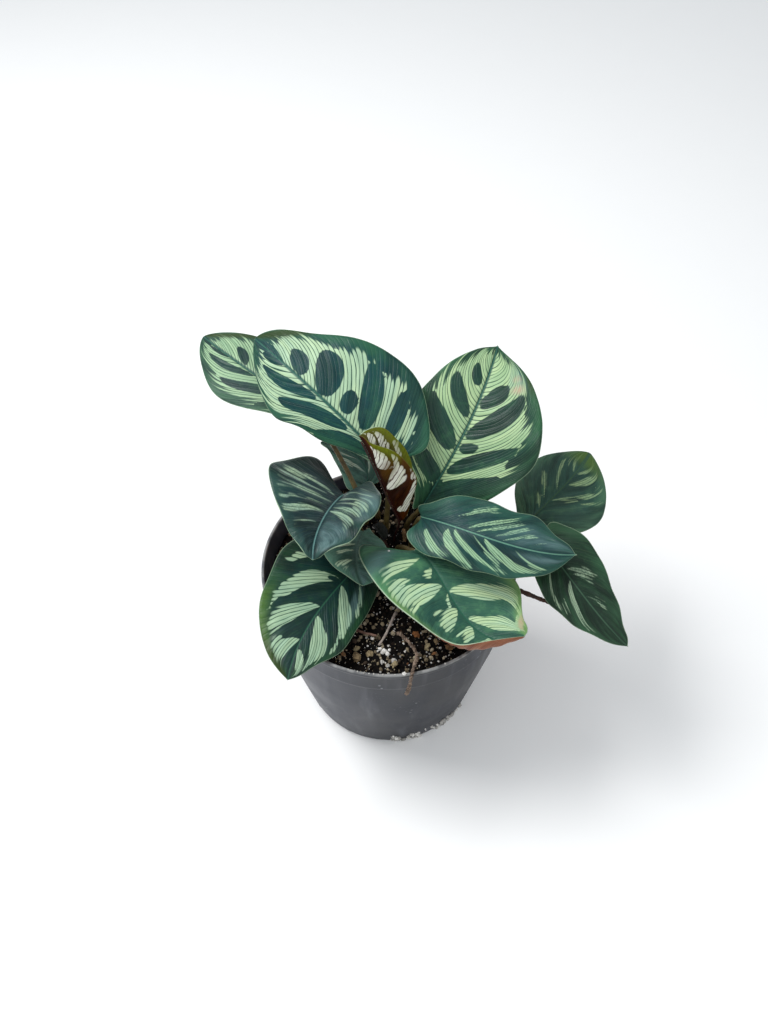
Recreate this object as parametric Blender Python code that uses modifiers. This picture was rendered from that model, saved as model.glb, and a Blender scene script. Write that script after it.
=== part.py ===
# Potted peacock plant: a nursery pot of soil with twelve patterned leaves on thin stalks.
# Metres, +Z up. The origin is the centre of the pot's foot, on the surface that it stands on.
# The plant's front is -Y.

import math
import random

import bmesh
import bpy
from mathutils import Matrix, Vector, noise

MM = 0.001
CLEARANCE = 0.3 * MM

# Pot
RIM_RADIUS = 60 * MM
RIM_HEIGHT = 97 * MM
RIM_WALL = 1.4 * MM
COLLAR_BOTTOM = 82 * MM
COLLAR_STEP = 1.4 * MM
RIM_BAND = 2.2 * MM
EDGE_ROUND = 0.5 * MM
FOOT_RADIUS = 44 * MM
FOOT_BAND = 2 * MM
FLOOR_TOP = 3.2 * MM
FLOOR_RADIUS = 42.4 * MM
RECESS_DEPTH = 1.6 * MM
RECESS_INNER = 15 * MM
RECESS_OUTER = 40 * MM
RECESS_DRAFT = 1 * MM
DRAIN_RADIUS = 4 * MM
DRAIN_RING = 28 * MM
DRAIN_COUNT = 6
DRAIN_SEGMENTS = 16
DRAIN_CUT = 8 * MM
POT_SEGMENTS = 48
WALL_FLAT = math.cos(math.pi / POT_SEGMENTS)

# Soil
SOIL_LEVEL = 88.5 * MM
SOIL_MOUND = 1.8 * MM
MOUND_REACH = 22 * MM
SOIL_ROUGHNESS = 0.9 * MM
LUMP_SIZE = 7 * MM
DIP_START = 25 * MM
DIP_SLOPE = 0.083
SOIL_SEGMENTS = 36
SOIL_RINGS = 6
MIDDLE_RING = 0.6
EDGE_RING = 1 * MM
CROWN = (2 * MM, 20 * MM)
HOLE_BOTTOM = 83 * MM
HOLE_DEPTH = 14 * MM
HOLE_SEGMENTS = 12
HOLE_GAP = 0.42 * MM
HOLE_SLACK = 0.3

# Crumbs of bark and perlite in the soil's top: the large ones' places and radii in
# millimetres, then how many small ones are strewn between them.
CHIPS = ((12, -34, 2.4), (-15, -46, 2.2), (17, -41, 1.8), (-9, -46, 1.7), (27, -40, 2.0), (1, -47, 1.6))
GRAIN_COUNT = 40
GRAIN_RADII = (1.0, 1.7)
GRAIN_SEED = 8
GRAIN_GAP = 0.5
GRAIN_SQUASH = ((0.8, 1), (0.6, 1), (0.6, 0.8))
GRAIN_LEAN = 0.5

# Leaves
BLADE_THICKNESS = 0.8 * MM
BLADE_ROWS = 12
BLADE_COLUMNS = 8
BASE_ROUNDNESS = 0.45
TIP_ROUNDNESS = 0.6
TIP_REACH = 0.03
LOBE_START = 0.03
LOBE_SPREAD = 1.5
LOBE_FADE = 3
RISE_STEPS = 12
WAVE_SHIFT = 1.7
SPINE_STEP = 0.001
STALK_RADIUS = 1.3 * MM
STALK_TAPER = 0.85
STALK_LEVEL = 92 * MM
STALK_STEPS = 9
FOOT_PULL = 0.3
BLADE_PULL = 0.15
MIDRIB_TIP_RADIUS = 0.5 * MM
MIDRIB_DROP = 0.5 * MM
MIDRIB_TIP_DROP = 0.6
MIDRIB_END = 0.86
MIDRIB_STEPS = 8

# Each leaf, in millimetres and degrees. The spine is the midrib at its base, two thirds
# and tip. Widths are those of each half at a tenth, three, five, seven and nine tenths of
# the spine, seen from the base. A rise is how steeply a half leaves the midrib, then how
# steep its edge is at the base and at the tip. A curl above 1 keeps that bend near the edge.
# Lobes are how far the two halves reach back past the stalk, as shares of the leaf's length.
# The foot is where the stalk leaves the soil. A wave is its height, its count and its phase.
# Point is how sharply a tip is drawn in, and upward is the way that a blade faces, if not up.
LEAVES = {
    "leaf_far_left": dict(
        spine=((-32, 56, 133), (-49, 68, 141), (-69, 84, 145), (-91, 106, 145)),
        left=(5, 10, 17, 20, 11), right=(8, 14, 20.5, 21, 12),
        rise_left=(-5, -20, -20), rise_right=(10, 0, -10),
        lobes=(0.15, 0.15), foot=(-11, 30), wave=(0.7, 2.5, 0.5)),
    "leaf_top_left": dict(
        spine=((-1, 25.5, 139), (-18, 36.5, 155), (-38, 53.5, 165), (-61, 79.5, 167)),
        left=(5, 12.5, 17.5, 22, 15), right=(24, 36, 37, 26.5, 13.5),
        rise_left=(-40, -65, -60), rise_right=(25, 15, 10),
        lobes=(0.05, 0.15), foot=(-1, 24), wave=(1.2, 3.0, 2.0)),
    "leaf_top_right": dict(
        spine=((16, 22, 112), (30, 33, 136), (42, 49, 155), (52, 76, 164)),
        left=(6, 19.5, 27, 23, 11), right=(12.5, 27.5, 36, 31.5, 18.5),
        rise_left=(25, 15, 10), rise_right=(5, -8, -8),
        lobes=(0.1, 0.18), foot=(9, 25), wave=(1.0, 3.5, 1.0), point=0.4),
    "leaf_back_right": dict(
        spine=((65, 17, 102), (76, 25, 110), (88, 36, 115), (99, 51, 116)),
        left=(5, 17.5, 23, 21, 11), right=(8, 19, 24, 21, 12.5),
        rise_left=(0, -20, -20), rise_right=(-10, -20, -30),
        lobes=(0.15, 0.15), foot=(15, 26), wave=(0.6, 2.5, 0.0)),
    "leaf_low_right": dict(
        spine=((71, 4, 109), (81, -15, 108), (93, -32, 102), (107, -43, 91)),
        left=(13, 19, 16, 11, 4.5), right=(8, 14, 14, 10.5, 5),
        rise_left=(10, 0, -5), rise_right=(-30, -40, -40),
        lobes=(0.15, 0.15), foot=(16, 20), wave=(0.8, 4.0, 0.5), point=0.3),
    "leaf_front": dict(
        spine=((12, -1, 109), (24, -19, 109), (37, -39, 103), (58, -48, 109)),
        left=(12, 22, 30, 29, 13), right=(23.5, 30.5, 27, 22, 15),
        rise_left=(5, 2, -5), rise_right=(12, 10, 125),
        lobes=(0.1, 0.39), foot=(4, 11), wave=(0.6, 2.5, 0.0), curl=3),
    "leaf_front_right": dict(
        spine=((15, 9, 121), (36, -6, 129), (59, -14, 127), (84, -12, 119)),
        left=(8, 17.5, 17, 16.5, 7), right=(14, 15.5, 15.5, 13.5, 8.5),
        rise_left=(15, 5, 0), rise_right=(-30, -40, -40),
        lobes=(0.1, 0.2), foot=(11, 14), wave=(0.9, 4.0, 1.0), point=0.5),
    "leaf_small": dict(
        spine=((-12, 17, 100), (-15, 4, 105.5), (-15, -9, 108), (-12, -20, 108)),
        left=(5, 12, 15, 13.5, 8), right=(11, 16.5, 15, 10, 3.5),
        rise_left=(10, 0, -10), rise_right=(12, 4, -5),
        lobes=(0.1, 0.15), foot=(-7, 18), wave=(0.4, 2.5, 0.0), point=0.3),
    "leaf_low_left": dict(
        spine=((-14, 1, 96), (-24, -18, 103), (-36, -40, 106), (-44, -64, 102)),
        left=(12, 17.5, 19, 18, 8), right=(24, 31, 28, 23, 12.5),
        rise_left=(-15, -30, -30), rise_right=(20, 10, 0),
        lobes=(0.15, 0.15), foot=(-5, 8), wave=(0.6, 3.0, 1.5), point=0.2),
    "leaf_under_left": dict(
        spine=((-11, 42, 103), (-11, 50, 109), (-19, 58, 112), (-33, 63, 113)),
        left=(8, 14, 12.5, 8.5, 3), right=(9, 9, 9, 10, 6),
        rise_left=(0, -10, -20), rise_right=(0, -10, -20),
        lobes=(0.15, 0.15), foot=(-5, 34), wave=(0.4, 2.0, 0.0)),
    "leaf_mid_left": dict(
        spine=((-21, 27, 116), (-28, 8, 126), (-32, -10, 132), (-33, -21, 130)),
        left=(14.5, 23.5, 21, 16, 5), right=(22.5, 33, 23.5, 14, 4.5),
        rise_left=(20, 5, 0), rise_right=(32, 20, 0),
        lobes=(0.35, 0.39), foot=(-13, 21), wave=(1.2, 3.5, 0.5), point=0.4),
    "leaf_young": dict(
        spine=((6, 12, 114.5), (0, 12, 133.5), (-6, 14, 152.5), (-12, 18, 166.5)),
        left=(6.5, 14.5, 14, 9.7, 2), right=(6, 17, 19, 16, 10.5),
        rise_left=(75, 100, 95), rise_right=(60, 80, 70),
        lobes=(0.0, 0.0), foot=(3, 18), wave=(0.0, 2.0, 0.0), upward=(0.72, 0.5, 0.48)),
    "leaf_withered": dict(
        spine=((-2, 14, 97), (-3.5, 16.5, 99.5), (-5.5, 19, 100), (-7, 21.5, 98)),
        left=(1.5, 2.5, 2.5, 2, 1), right=(2, 3.5, 3.5, 3, 1.5),
        rise_left=(30, 60, 60), rise_right=(20, 50, 50),
        lobes=(0.0, 0.0), foot=(-1, 13), wave=(0.3, 2.0, 0.0)),
}
WIDTH_STATIONS = (0.1, 0.3, 0.5, 0.7, 0.9)

# Dead stems and roots, in millimetres, from the soil outwards, with their two end radii.
STRANDS = {
    "old_stalk": (
        ((19, 12, 84), (19, 12, 92), (27, 6, 97), (40, -5, 99), (53, -14, 99.5),
         (60, -18, 99.6), (66, -20.5, 98), (72, -23, 94), (78, -26, 89.5)),
        1.4, 0.9),
    "dry_root": (
        ((4, -34, 84), (4, -34, 90), (6, -37, 91.8), (10, -42, 92.3), (12, -49, 95.5),
         (11, -54, 98.1), (10, -58, 98.5), (9, -61, 97.4), (8.5, -62.3, 94),
         (8, -62.5, 89), (7, -62.7, 85)),
        1.1, 0.8),
    "pale_straw": (
        ((3, -23, 84), (3, -23, 90), (1, -28.5, 91.3), (-2, -35.5, 90.8), (-5, -40.5, 90.4)),
        1.0, 0.6),
    "twig": (
        ((-15, -32, 84), (-15, -32, 89.5), (-12, -34, 90.9), (-6, -35.5, 90.5)),
        0.9, 0.6),
    "cut_stub": (
        ((8, 18.6, 84), (8, 18.6, 92), (7.4, 20, 97)),
        1.2, 1.0),
}
STRAND_STEPS = 3


def new_collection(name):
    """A collection linked to the scene."""
    collection = bpy.data.collections.new(name)
    bpy.context.scene.collection.children.link(collection)
    return collection


def new_material(name, colour, roughness):
    """A Principled material of one colour."""
    material = bpy.data.materials.new(name)
    material.use_nodes = True
    shader = material.node_tree.nodes["Principled BSDF"]
    shader.inputs["Base Color"].default_value = (*colour, 1)
    shader.inputs["Roughness"].default_value = roughness
    shader.inputs["Metallic"].default_value = 0
    material.diffuse_color = (*colour, 1)
    return material


def add_object(name, mesh, material, collection):
    """An object for the mesh, with its material."""
    part = bpy.data.objects.new(name, mesh)
    part.data.materials.append(material)
    collection.objects.link(part)
    return part


def mesh_from(work, name):
    """The bmesh as a mesh, closed off and smooth-shaded."""
    mesh = bpy.data.meshes.new(name)
    work.to_mesh(mesh)
    work.free()
    mesh.shade_smooth()
    mesh.set_sharp_from_angle(angle=math.radians(40))
    return mesh


def make_guide(part):
    """A piece that only shapes others is drawn as wire and left out of renders."""
    part.hide_render = True
    part.display_type = "WIRE"


def add_boolean(part, operation, other):
    """A live Boolean of another object on the part."""
    modifier = part.modifiers.new(operation.title(), "BOOLEAN")
    modifier.operation = operation
    modifier.solver = "EXACT"
    modifier.use_self = operation == "UNION"
    modifier.object = other


def pot_inner_radius(height):
    """The pot's inner wall is a plain cone from its floor to its rim."""
    share = (height - FLOOR_TOP) / (RIM_HEIGHT - FLOOR_TOP)
    return FLOOR_RADIUS + share * (RIM_RADIUS - RIM_WALL - FLOOR_RADIUS)


def pot_profile():
    """Radius and height from the rim down the outside, under the foot and back up inside."""
    collar = pot_inner_radius(COLLAR_BOTTOM) + RIM_WALL + COLLAR_STEP
    wall_top = collar - COLLAR_STEP
    return (
        (RIM_RADIUS - EDGE_ROUND, RIM_HEIGHT),
        (RIM_RADIUS, RIM_HEIGHT - EDGE_ROUND),
        (RIM_RADIUS, RIM_HEIGHT - RIM_BAND),
        (RIM_RADIUS - EDGE_ROUND, RIM_HEIGHT - RIM_BAND - EDGE_ROUND),
        (collar, COLLAR_BOTTOM + EDGE_ROUND),
        (collar - EDGE_ROUND, COLLAR_BOTTOM),
        (wall_top, COLLAR_BOTTOM - EDGE_ROUND),
        (FOOT_RADIUS + EDGE_ROUND, FOOT_BAND),
        (FOOT_RADIUS - EDGE_ROUND, 0),
        (RECESS_OUTER + RECESS_DRAFT, 0),
        (RECESS_OUTER, RECESS_DEPTH),
        (RECESS_INNER + RECESS_DRAFT, RECESS_DEPTH),
        (RECESS_INNER, 0),
        (0, 0),
    ), (
        (0, FLOOR_TOP),
        (FLOOR_RADIUS, FLOOR_TOP),
        (pot_inner_radius(RIM_HEIGHT - EDGE_ROUND), RIM_HEIGHT - EDGE_ROUND),
        (RIM_RADIUS - RIM_WALL + EDGE_ROUND / 2, RIM_HEIGHT),
    )


def build_pot(parts, cutters):
    """The turned pot, with its drain holes."""
    outside, inside = pot_profile()
    points = outside + inside
    mesh = bpy.data.meshes.new("pot")
    edges = [(index, index + 1) for index in range(len(points) - 1) if index != len(outside) - 1]
    edges.append((len(points) - 1, 0))
    mesh.from_pydata([(radius, 0, height) for radius, height in points], edges, [])
    pot = add_object("pot", mesh, new_material("pot_plastic", (0.16, 0.165, 0.18), 0.45), parts)
    turn = pot.modifiers.new("Turn", "SCREW")
    turn.axis = "Z"
    turn.angle = math.tau
    turn.steps = turn.render_steps = POT_SEGMENTS
    turn.use_merge_vertices = True
    turn.merge_threshold = 0.01 * MM
    turn.use_smooth_shade = True
    add_boolean(pot, "DIFFERENCE", drain_cutter(cutters))


def drain_cutter(cutters):
    """One mesh of round plugs that stand in a ring through the pot's floor."""
    work = bmesh.new()
    for index in range(DRAIN_COUNT):
        angle = math.tau * (index + 0.5) / DRAIN_COUNT
        made = bmesh.ops.create_cone(
            work, cap_ends=True, segments=DRAIN_SEGMENTS,
            radius1=DRAIN_RADIUS, radius2=DRAIN_RADIUS, depth=DRAIN_CUT)
        place = Vector((DRAIN_RING * math.cos(angle), DRAIN_RING * math.sin(angle), RECESS_DEPTH))
        bmesh.ops.translate(work, verts=made["verts"], vec=place)
    cutter = bpy.data.objects.new("drain_cutter", mesh_from(work, "drain_cutter"))
    cutters.objects.link(cutter)
    make_guide(cutter)
    return cutter


def soil_height(x, y):
    """The soil's top: a low mound round the crown, with lumps."""
    reach = math.hypot(x - CROWN[0], y - CROWN[1])
    mound = SOIL_MOUND * math.exp(-((reach / MOUND_REACH) ** 2))
    lumps = SOIL_ROUGHNESS * noise.noise(Vector((x, y, 0)) / LUMP_SIZE)
    left_dip = DIP_SLOPE * max(0.0, -x - DIP_START)
    return SOIL_LEVEL + mound + lumps - left_dip


def build_soil(parts, cutters):
    """The root ball fills the pot's inside, with a plain hole for each stalk."""
    base = FLOOR_TOP + CLEARANCE
    base_radius = pot_inner_radius(base) * WALL_FLAT - CLEARANCE
    top_radius = pot_inner_radius(SOIL_LEVEL) * WALL_FLAT - CLEARANCE
    work = bmesh.new()
    bmesh.ops.create_cone(
        work, cap_ends=True, segments=SOIL_SEGMENTS,
        radius1=base_radius, radius2=top_radius, depth=SOIL_LEVEL - base)
    bmesh.ops.translate(work, verts=work.verts, vec=(0, 0, (SOIL_LEVEL + base) / 2))
    work.faces.ensure_lookup_table()
    top = max(work.faces, key=lambda face: face.calc_center_median().z)
    for _ in range(SOIL_RINGS):
        bmesh.ops.inset_region(work, faces=[top], thickness=top_radius / (SOIL_RINGS + MIDDLE_RING))
    bmesh.ops.poke(work, faces=[top])
    # The edge ring follows the wall as it drops, so that it stays clear of the pot.
    for vert in work.verts:
        if vert.co.z > SOIL_LEVEL - CLEARANCE:
            reach = math.hypot(vert.co.x, vert.co.y)
            height = soil_height(vert.co.x, vert.co.y)
            limit = pot_inner_radius(height) * WALL_FLAT - CLEARANCE
            if reach > limit - EDGE_RING:
                vert.co.x *= limit / reach
                vert.co.y *= limit / reach
            vert.co.z = height
    bmesh.ops.triangulate(work, faces=work.faces)
    bmesh.ops.recalc_face_normals(work, faces=work.faces)
    soil = add_object(
        "soil", mesh_from(work, "soil"), new_material("soil", (0.012, 0.009, 0.007), 0.95), parts)
    add_boolean(soil, "UNION", soil_grains(cutters))
    add_boolean(soil, "DIFFERENCE", stalk_holes(cutters))


def grain_places():
    """Where the crumbs lie, clear of the wall, the stalks, the strands and each other."""
    taken = [(*leaf["foot"], STALK_RADIUS / MM + 1) for leaf in LEAVES.values()]
    for corners, first_radius, _ in STRANDS.values():
        route = strand_route(corners, first_radius, first_radius)
        taken += [(point.x / MM, point.y / MM, first_radius) for point, _ in route]
    wall = (pot_inner_radius(HOLE_BOTTOM) - CLEARANCE) / MM
    draw = random.Random(GRAIN_SEED)
    grains = []
    while len(grains) < len(CHIPS) + GRAIN_COUNT:
        if len(grains) < len(CHIPS):
            grain = CHIPS[len(grains)]
        else:
            reach, turn = wall * math.sqrt(draw.random()), draw.uniform(0, math.tau)
            grain = (reach * math.cos(turn), reach * math.sin(turn), draw.uniform(*GRAIN_RADII))
            near = any(math.dist(grain[:2], other[:2]) < grain[2] + other[2] + GRAIN_GAP for other in taken)
            if near or reach > wall - 2 * grain[2]:
                continue
        grains.append(grain)
        taken.append(grain)
    return grains


def soil_grains(cutters):
    """One mesh of lumpy crumbs, each sunk by half into the soil."""
    draw = random.Random(GRAIN_SEED)
    work = bmesh.new()
    for x, y, radius in grain_places():
        made = bmesh.ops.create_icosphere(work, subdivisions=1, radius=radius * MM)
        squash = Matrix.Diagonal((*(draw.uniform(*span) for span in GRAIN_SQUASH), 1))
        lean = Matrix.Rotation(draw.uniform(-GRAIN_LEAN, GRAIN_LEAN), 4, "X")
        turn = Matrix.Rotation(draw.uniform(0, math.tau), 4, "Z")
        place = Matrix.Translation((x * MM, y * MM, soil_height(x * MM, y * MM)))
        bmesh.ops.transform(work, verts=made["verts"], matrix=place @ turn @ lean @ squash)
    grains = bpy.data.objects.new("soil_grains", mesh_from(work, "soil_grains"))
    cutters.objects.link(grains)
    make_guide(grains)
    return grains


def stalk_holes(cutters):
    """One mesh of upright plugs, a clearance wider than the stalks that stand in them."""
    feet = [(*leaf["foot"], STALK_RADIUS / MM) for leaf in LEAVES.values()]
    feet += [(*route[0][:2], thick + HOLE_SLACK) for route, thick, _ in STRANDS.values()]
    work = bmesh.new()
    for x, y, radius in feet:
        made = bmesh.ops.create_cone(
            work, cap_ends=True, segments=HOLE_SEGMENTS, depth=HOLE_DEPTH,
            radius1=radius * MM + HOLE_GAP, radius2=radius * MM + HOLE_GAP)
        place = Vector((x * MM, y * MM, HOLE_BOTTOM + HOLE_DEPTH / 2))
        bmesh.ops.translate(work, verts=made["verts"], vec=place)
    cutter = bpy.data.objects.new("stalk_holes", mesh_from(work, "stalk_holes"))
    cutters.objects.link(cutter)
    make_guide(cutter)
    return cutter


def spine_point(spine, along):
    """The cubic through a leaf's four spine points, in metres, at a share of its length."""
    point = Vector((0, 0, 0))
    for index, corner in enumerate(spine):
        weight = 1.0
        for other in range(4):
            if other != index:
                weight *= (along * 3 - other) / (index - other)
        point += weight * Vector(corner) * MM
    return point


def spine_frame(leaf, along):
    """The spine's point, its direction, the way across it and the way up from the blade."""
    spine = leaf["spine"]
    chord = (Vector(spine[3]) - Vector(spine[0])).normalized()
    across = chord.cross(Vector(leaf.get("upward", (0, 0, 1)))).normalized()
    before, after = spine_point(spine, along - SPINE_STEP), spine_point(spine, along + SPINE_STEP)
    tangent = (after - before).normalized()
    return spine_point(spine, along), tangent, across, across.cross(tangent).normalized()


def envelope(along):
    """The round base and pointed tip that every blade shares."""
    along = min(max(along, 0.0), 1.0)
    return along ** BASE_ROUNDNESS * (1 - along) ** TIP_ROUNDNESS


def half_width(widths, along, point):
    """A half's width in metres: a smooth curve through its five stations, then the tip's point."""
    shares = [width / envelope(station) for width, station in zip(widths, WIDTH_STATIONS)]
    shares = [shares[0], *shares, shares[-1]]
    spacing = WIDTH_STATIONS[1] - WIDTH_STATIONS[0]
    place = min(max((along - WIDTH_STATIONS[0]) / spacing, 0.0), 4.0)
    index = min(int(place), 3)
    step = place - index
    before, first, last, after = shares[index:index + 4]
    share = first + 0.5 * step * (
        last - before + step * (
            2 * before - 5 * first + 4 * last - after + step * (3 * (first - last) + after - before)))
    rest = min(max(1 - along, 0.0), 1.0)
    return share * envelope(along) * rest ** (point * math.exp(-rest / TIP_REACH)) * MM


def blade_point(leaf, along, aside):
    """A point of the blade. Aside runs from -1 at the left edge to 1 at the right edge."""
    side = "right" if aside > 0 else "left"
    reach = abs(aside)
    growth = (1 - along) ** LOBE_FADE * (1 - math.exp(-along / LOBE_START))
    backward = leaf["lobes"][aside > 0] * growth * reach ** LOBE_SPREAD
    point, _, across, upward = spine_frame(leaf, along)
    point -= backward * (Vector(leaf["spine"][3]) - Vector(leaf["spine"][0])) * MM
    inner, edge_base, edge_tip = leaf["rise_" + side]
    edge = edge_base + (edge_tip - edge_base) * along
    half = half_width(leaf[side], along, leaf.get("point", 0.0))
    for step in range(RISE_STEPS):
        outward = (reach * (step + 0.5) / RISE_STEPS) ** leaf.get("curl", 1)
        angle = math.radians(inner + (edge - inner) * outward)
        length = half * reach / RISE_STEPS
        point += across * math.copysign(math.cos(angle) * length, aside) + upward * math.sin(angle) * length
    height, count, phase = leaf["wave"]
    phase += 0 if aside > 0 else WAVE_SHIFT
    swell = 2 * math.sqrt(max(along * (1 - along), 0.0)) * reach ** 2
    return point + upward * height * MM * swell * math.sin(math.tau * count * along + phase)


def blade_mesh(name, leaf):
    """A grid laid on the blade's formula, with its first and last rows drawn to a point."""
    work = bmesh.new()
    bmesh.ops.create_grid(work, x_segments=BLADE_COLUMNS, y_segments=BLADE_ROWS, size=1)
    for vert in work.verts:
        along = (1 - math.cos(math.pi * (vert.co.y + 1) / 2)) / 2
        vert.co = blade_point(leaf, along, vert.co.x)
    bmesh.ops.remove_doubles(work, verts=work.verts, dist=0.02 * MM)
    bmesh.ops.triangulate(work, faces=work.faces)
    return mesh_from(work, name)


def stalk_route(leaf):
    """Points and radii up the stalk from its hole and on along the midrib, under the blade."""
    x, y = (value * MM for value in leaf["foot"])
    buried, surface = Vector((x, y, HOLE_BOTTOM + CLEARANCE)), Vector((x, y, STALK_LEVEL))
    base, tangent, _, upward = spine_frame(leaf, 0.0)
    base = base - upward * MIDRIB_DROP
    length = (base - surface).length
    first_pull = surface + Vector((0, 0, FOOT_PULL * length))
    last_pull = base - tangent * BLADE_PULL * length
    route = [(buried, STALK_RADIUS)]
    for step in range(STALK_STEPS + 1):
        share = step / STALK_STEPS
        rest = 1 - share
        point = (rest ** 3 * surface + 3 * rest ** 2 * share * first_pull
                 + 3 * rest * share ** 2 * last_pull + share ** 3 * base)
        route.append((point, STALK_RADIUS * (rest + STALK_TAPER * share)))
    for step in range(1, MIDRIB_STEPS + 1):
        share = step / MIDRIB_STEPS
        rest = 1 - share
        point, _, _, upward = spine_frame(leaf, share * MIDRIB_END)
        radius = STALK_TAPER * STALK_RADIUS * rest + MIDRIB_TIP_RADIUS * share
        route.append((point - upward * MIDRIB_DROP * (rest + MIDRIB_TIP_DROP * share), radius))
    return route


def tube_object(name, route, collection):
    """A round strand along the route, as a mesh with its caps welded on."""
    curve = bpy.data.curves.new(name, "CURVE")
    curve.dimensions = "3D"
    curve.bevel_depth = 1
    curve.bevel_resolution = 1
    curve.use_fill_caps = True
    spline = curve.splines.new("POLY")
    spline.points.add(len(route) - 1)
    for point, (place, radius) in zip(spline.points, route):
        point.co = (*place, 1)
        point.radius = radius
    drawn = bpy.data.objects.new(name + "_curve", curve)
    collection.objects.link(drawn)
    bpy.context.view_layer.update()
    mesh = bpy.data.meshes.new_from_object(drawn.evaluated_get(bpy.context.evaluated_depsgraph_get()))
    work = bmesh.new()
    work.from_mesh(mesh)
    bmesh.ops.remove_doubles(work, verts=work.verts, dist=0.001 * MM)
    bmesh.ops.recalc_face_normals(work, faces=work.faces)
    work.to_mesh(mesh)
    work.free()
    mesh.name = name
    strand = bpy.data.objects.new(name, mesh)
    strand.matrix_world = drawn.matrix_world
    collection.objects.link(strand)
    bpy.data.objects.remove(drawn)
    return strand


def build_leaf(name, leaf, material, parts, cutters):
    """A leaf: its thin blade joined to its stalk and midrib."""
    blade = add_object(name, blade_mesh(name, leaf), material, parts)
    thicken = blade.modifiers.new("Thicken", "SOLIDIFY")
    thicken.thickness = BLADE_THICKNESS
    thicken.offset = 0
    stalk = tube_object(name + "_stalk", stalk_route(leaf), cutters)
    make_guide(stalk)
    add_boolean(blade, "UNION", stalk)


def strand_route(corners, first_radius, last_radius):
    """A Catmull-Rom curve through a strand's corners, with its radius tapering evenly."""
    corners = [Vector(corner) * MM for corner in corners]
    corners = [2 * corners[0] - corners[1], *corners, 2 * corners[-1] - corners[-2]]
    spans = len(corners) - 3
    route = []
    for index in range(spans * STRAND_STEPS + 1):
        span = min(index // STRAND_STEPS, spans - 1)
        step = index / STRAND_STEPS - span
        before, first, last, after = corners[span:span + 4]
        point = first + 0.5 * step * (
            last - before + step * (
                2 * before - 5 * first + 4 * last - after
                + step * (3 * (first - last) + after - before)))
        share = index / (spans * STRAND_STEPS)
        route.append((point, (first_radius + (last_radius - first_radius) * share) * MM))
    return route


def build_strands(parts):
    """The dead stalk, root, straw, twig and stub."""
    colours = {
        "old_stalk": (0.035, 0.018, 0.010),
        "dry_root": (0.33, 0.22, 0.16),
        "pale_straw": (0.50, 0.45, 0.40),
        "twig": (0.12, 0.06, 0.035),
        "cut_stub": (0.16, 0.10, 0.05),
    }
    for name, (corners, first_radius, last_radius) in STRANDS.items():
        strand = tube_object(name, strand_route(corners, first_radius, last_radius), parts)
        strand.data.materials.append(new_material(name, colours[name], 0.7))
        strand.data.shade_smooth()


def main():
    """Build every piece."""
    for item in list(bpy.data.objects):
        bpy.data.objects.remove(item)
    parts = new_collection("potted_peacock_plant")
    cutters = new_collection("cutters")
    build_pot(parts, cutters)
    build_soil(parts, cutters)
    green = new_material("leaf_green", (0.075, 0.16, 0.095), 0.4)
    burgundy = new_material("young_leaf", (0.12, 0.035, 0.015), 0.35)
    for name, leaf in LEAVES.items():
        build_leaf(name, leaf, burgundy if name == "leaf_young" else green, parts, cutters)
    build_strands(parts)


main()
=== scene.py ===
# Potted peacock plant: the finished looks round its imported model.
# The tables are in millimetres and degrees, and the plant's front is -Y.

import math
import random

import bmesh
import bpy
import numpy as np
from mathutils import Matrix, Vector, noise


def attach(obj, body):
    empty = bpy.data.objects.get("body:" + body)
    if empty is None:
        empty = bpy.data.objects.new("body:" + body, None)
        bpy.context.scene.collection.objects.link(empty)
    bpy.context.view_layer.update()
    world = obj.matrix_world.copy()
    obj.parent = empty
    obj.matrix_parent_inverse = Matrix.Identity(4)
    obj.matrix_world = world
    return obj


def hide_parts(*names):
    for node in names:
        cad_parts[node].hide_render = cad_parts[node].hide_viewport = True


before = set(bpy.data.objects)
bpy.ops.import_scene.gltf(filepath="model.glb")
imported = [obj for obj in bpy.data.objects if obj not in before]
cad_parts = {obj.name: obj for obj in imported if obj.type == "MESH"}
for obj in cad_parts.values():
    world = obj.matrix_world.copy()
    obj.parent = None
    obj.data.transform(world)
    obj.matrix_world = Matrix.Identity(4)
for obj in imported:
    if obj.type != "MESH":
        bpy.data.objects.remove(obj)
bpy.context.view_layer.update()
scene = bpy.context.scene
mm = 0.001


# Shared helpers

def tint(code):  # a colour as it looks on screen, for a shader
    values = [int(code[place:place + 2], 16) / 255 for place in (1, 3, 5)]
    return (*[v / 12.92 if v <= 0.04045 else ((v + 0.055) / 1.055) ** 2.4 for v in values], 1)


class Value:  # what a node gives, so that a finish can be written as plain sums
    def __init__(self, node, output=0):
        self.node, self.tree, self.socket = node, node.id_data, node.outputs[output]

    def __add__(self, other):
        return calc("ADD", self, other)

    def __sub__(self, other):
        return calc("SUBTRACT", self, other)

    def __rsub__(self, other):
        return calc("SUBTRACT", other, self)

    def __mul__(self, other):
        return calc("MULTIPLY", self, other)

    def __truediv__(self, other):
        return calc("DIVIDE", self, other)


def fill(sockets, name, value):  # with a value, a colour code or a plain number
    if isinstance(value, Value):
        value.tree.links.new(value.socket, sockets[name])
    else:
        sockets[name].default_value = tint(value) if isinstance(value, str) else value


def addNode(tree, kind, values=(), output=0, **settings):
    made = tree.nodes.new("ShaderNode" + kind)
    for name, value in settings.items():
        setattr(made, name, value)
    for name, value in values:
        fill(made.inputs, name, value)
    return Value(made, output)


def calc(operation, *values):
    tree = next(value.tree for value in values if isinstance(value, Value))
    return addNode(tree, "Math", enumerate(values), operation=operation)


def rise(value, low, high, start=0.0, end=1.0):  # a smooth step, which starts at low and ends at high
    return addNode(value.tree, "MapRange", [
        ("Value", value), ("From Min", low), ("From Max", high), ("To Min", start), ("To Max", end)],
        interpolation_type="SMOOTHSTEP")


def mixed(share, first, second, how="MIX"):
    return addNode(share.tree, "Mix", [(0, share), (6, first), (7, second)], 2, data_type="RGBA", blend_type=how)


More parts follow.
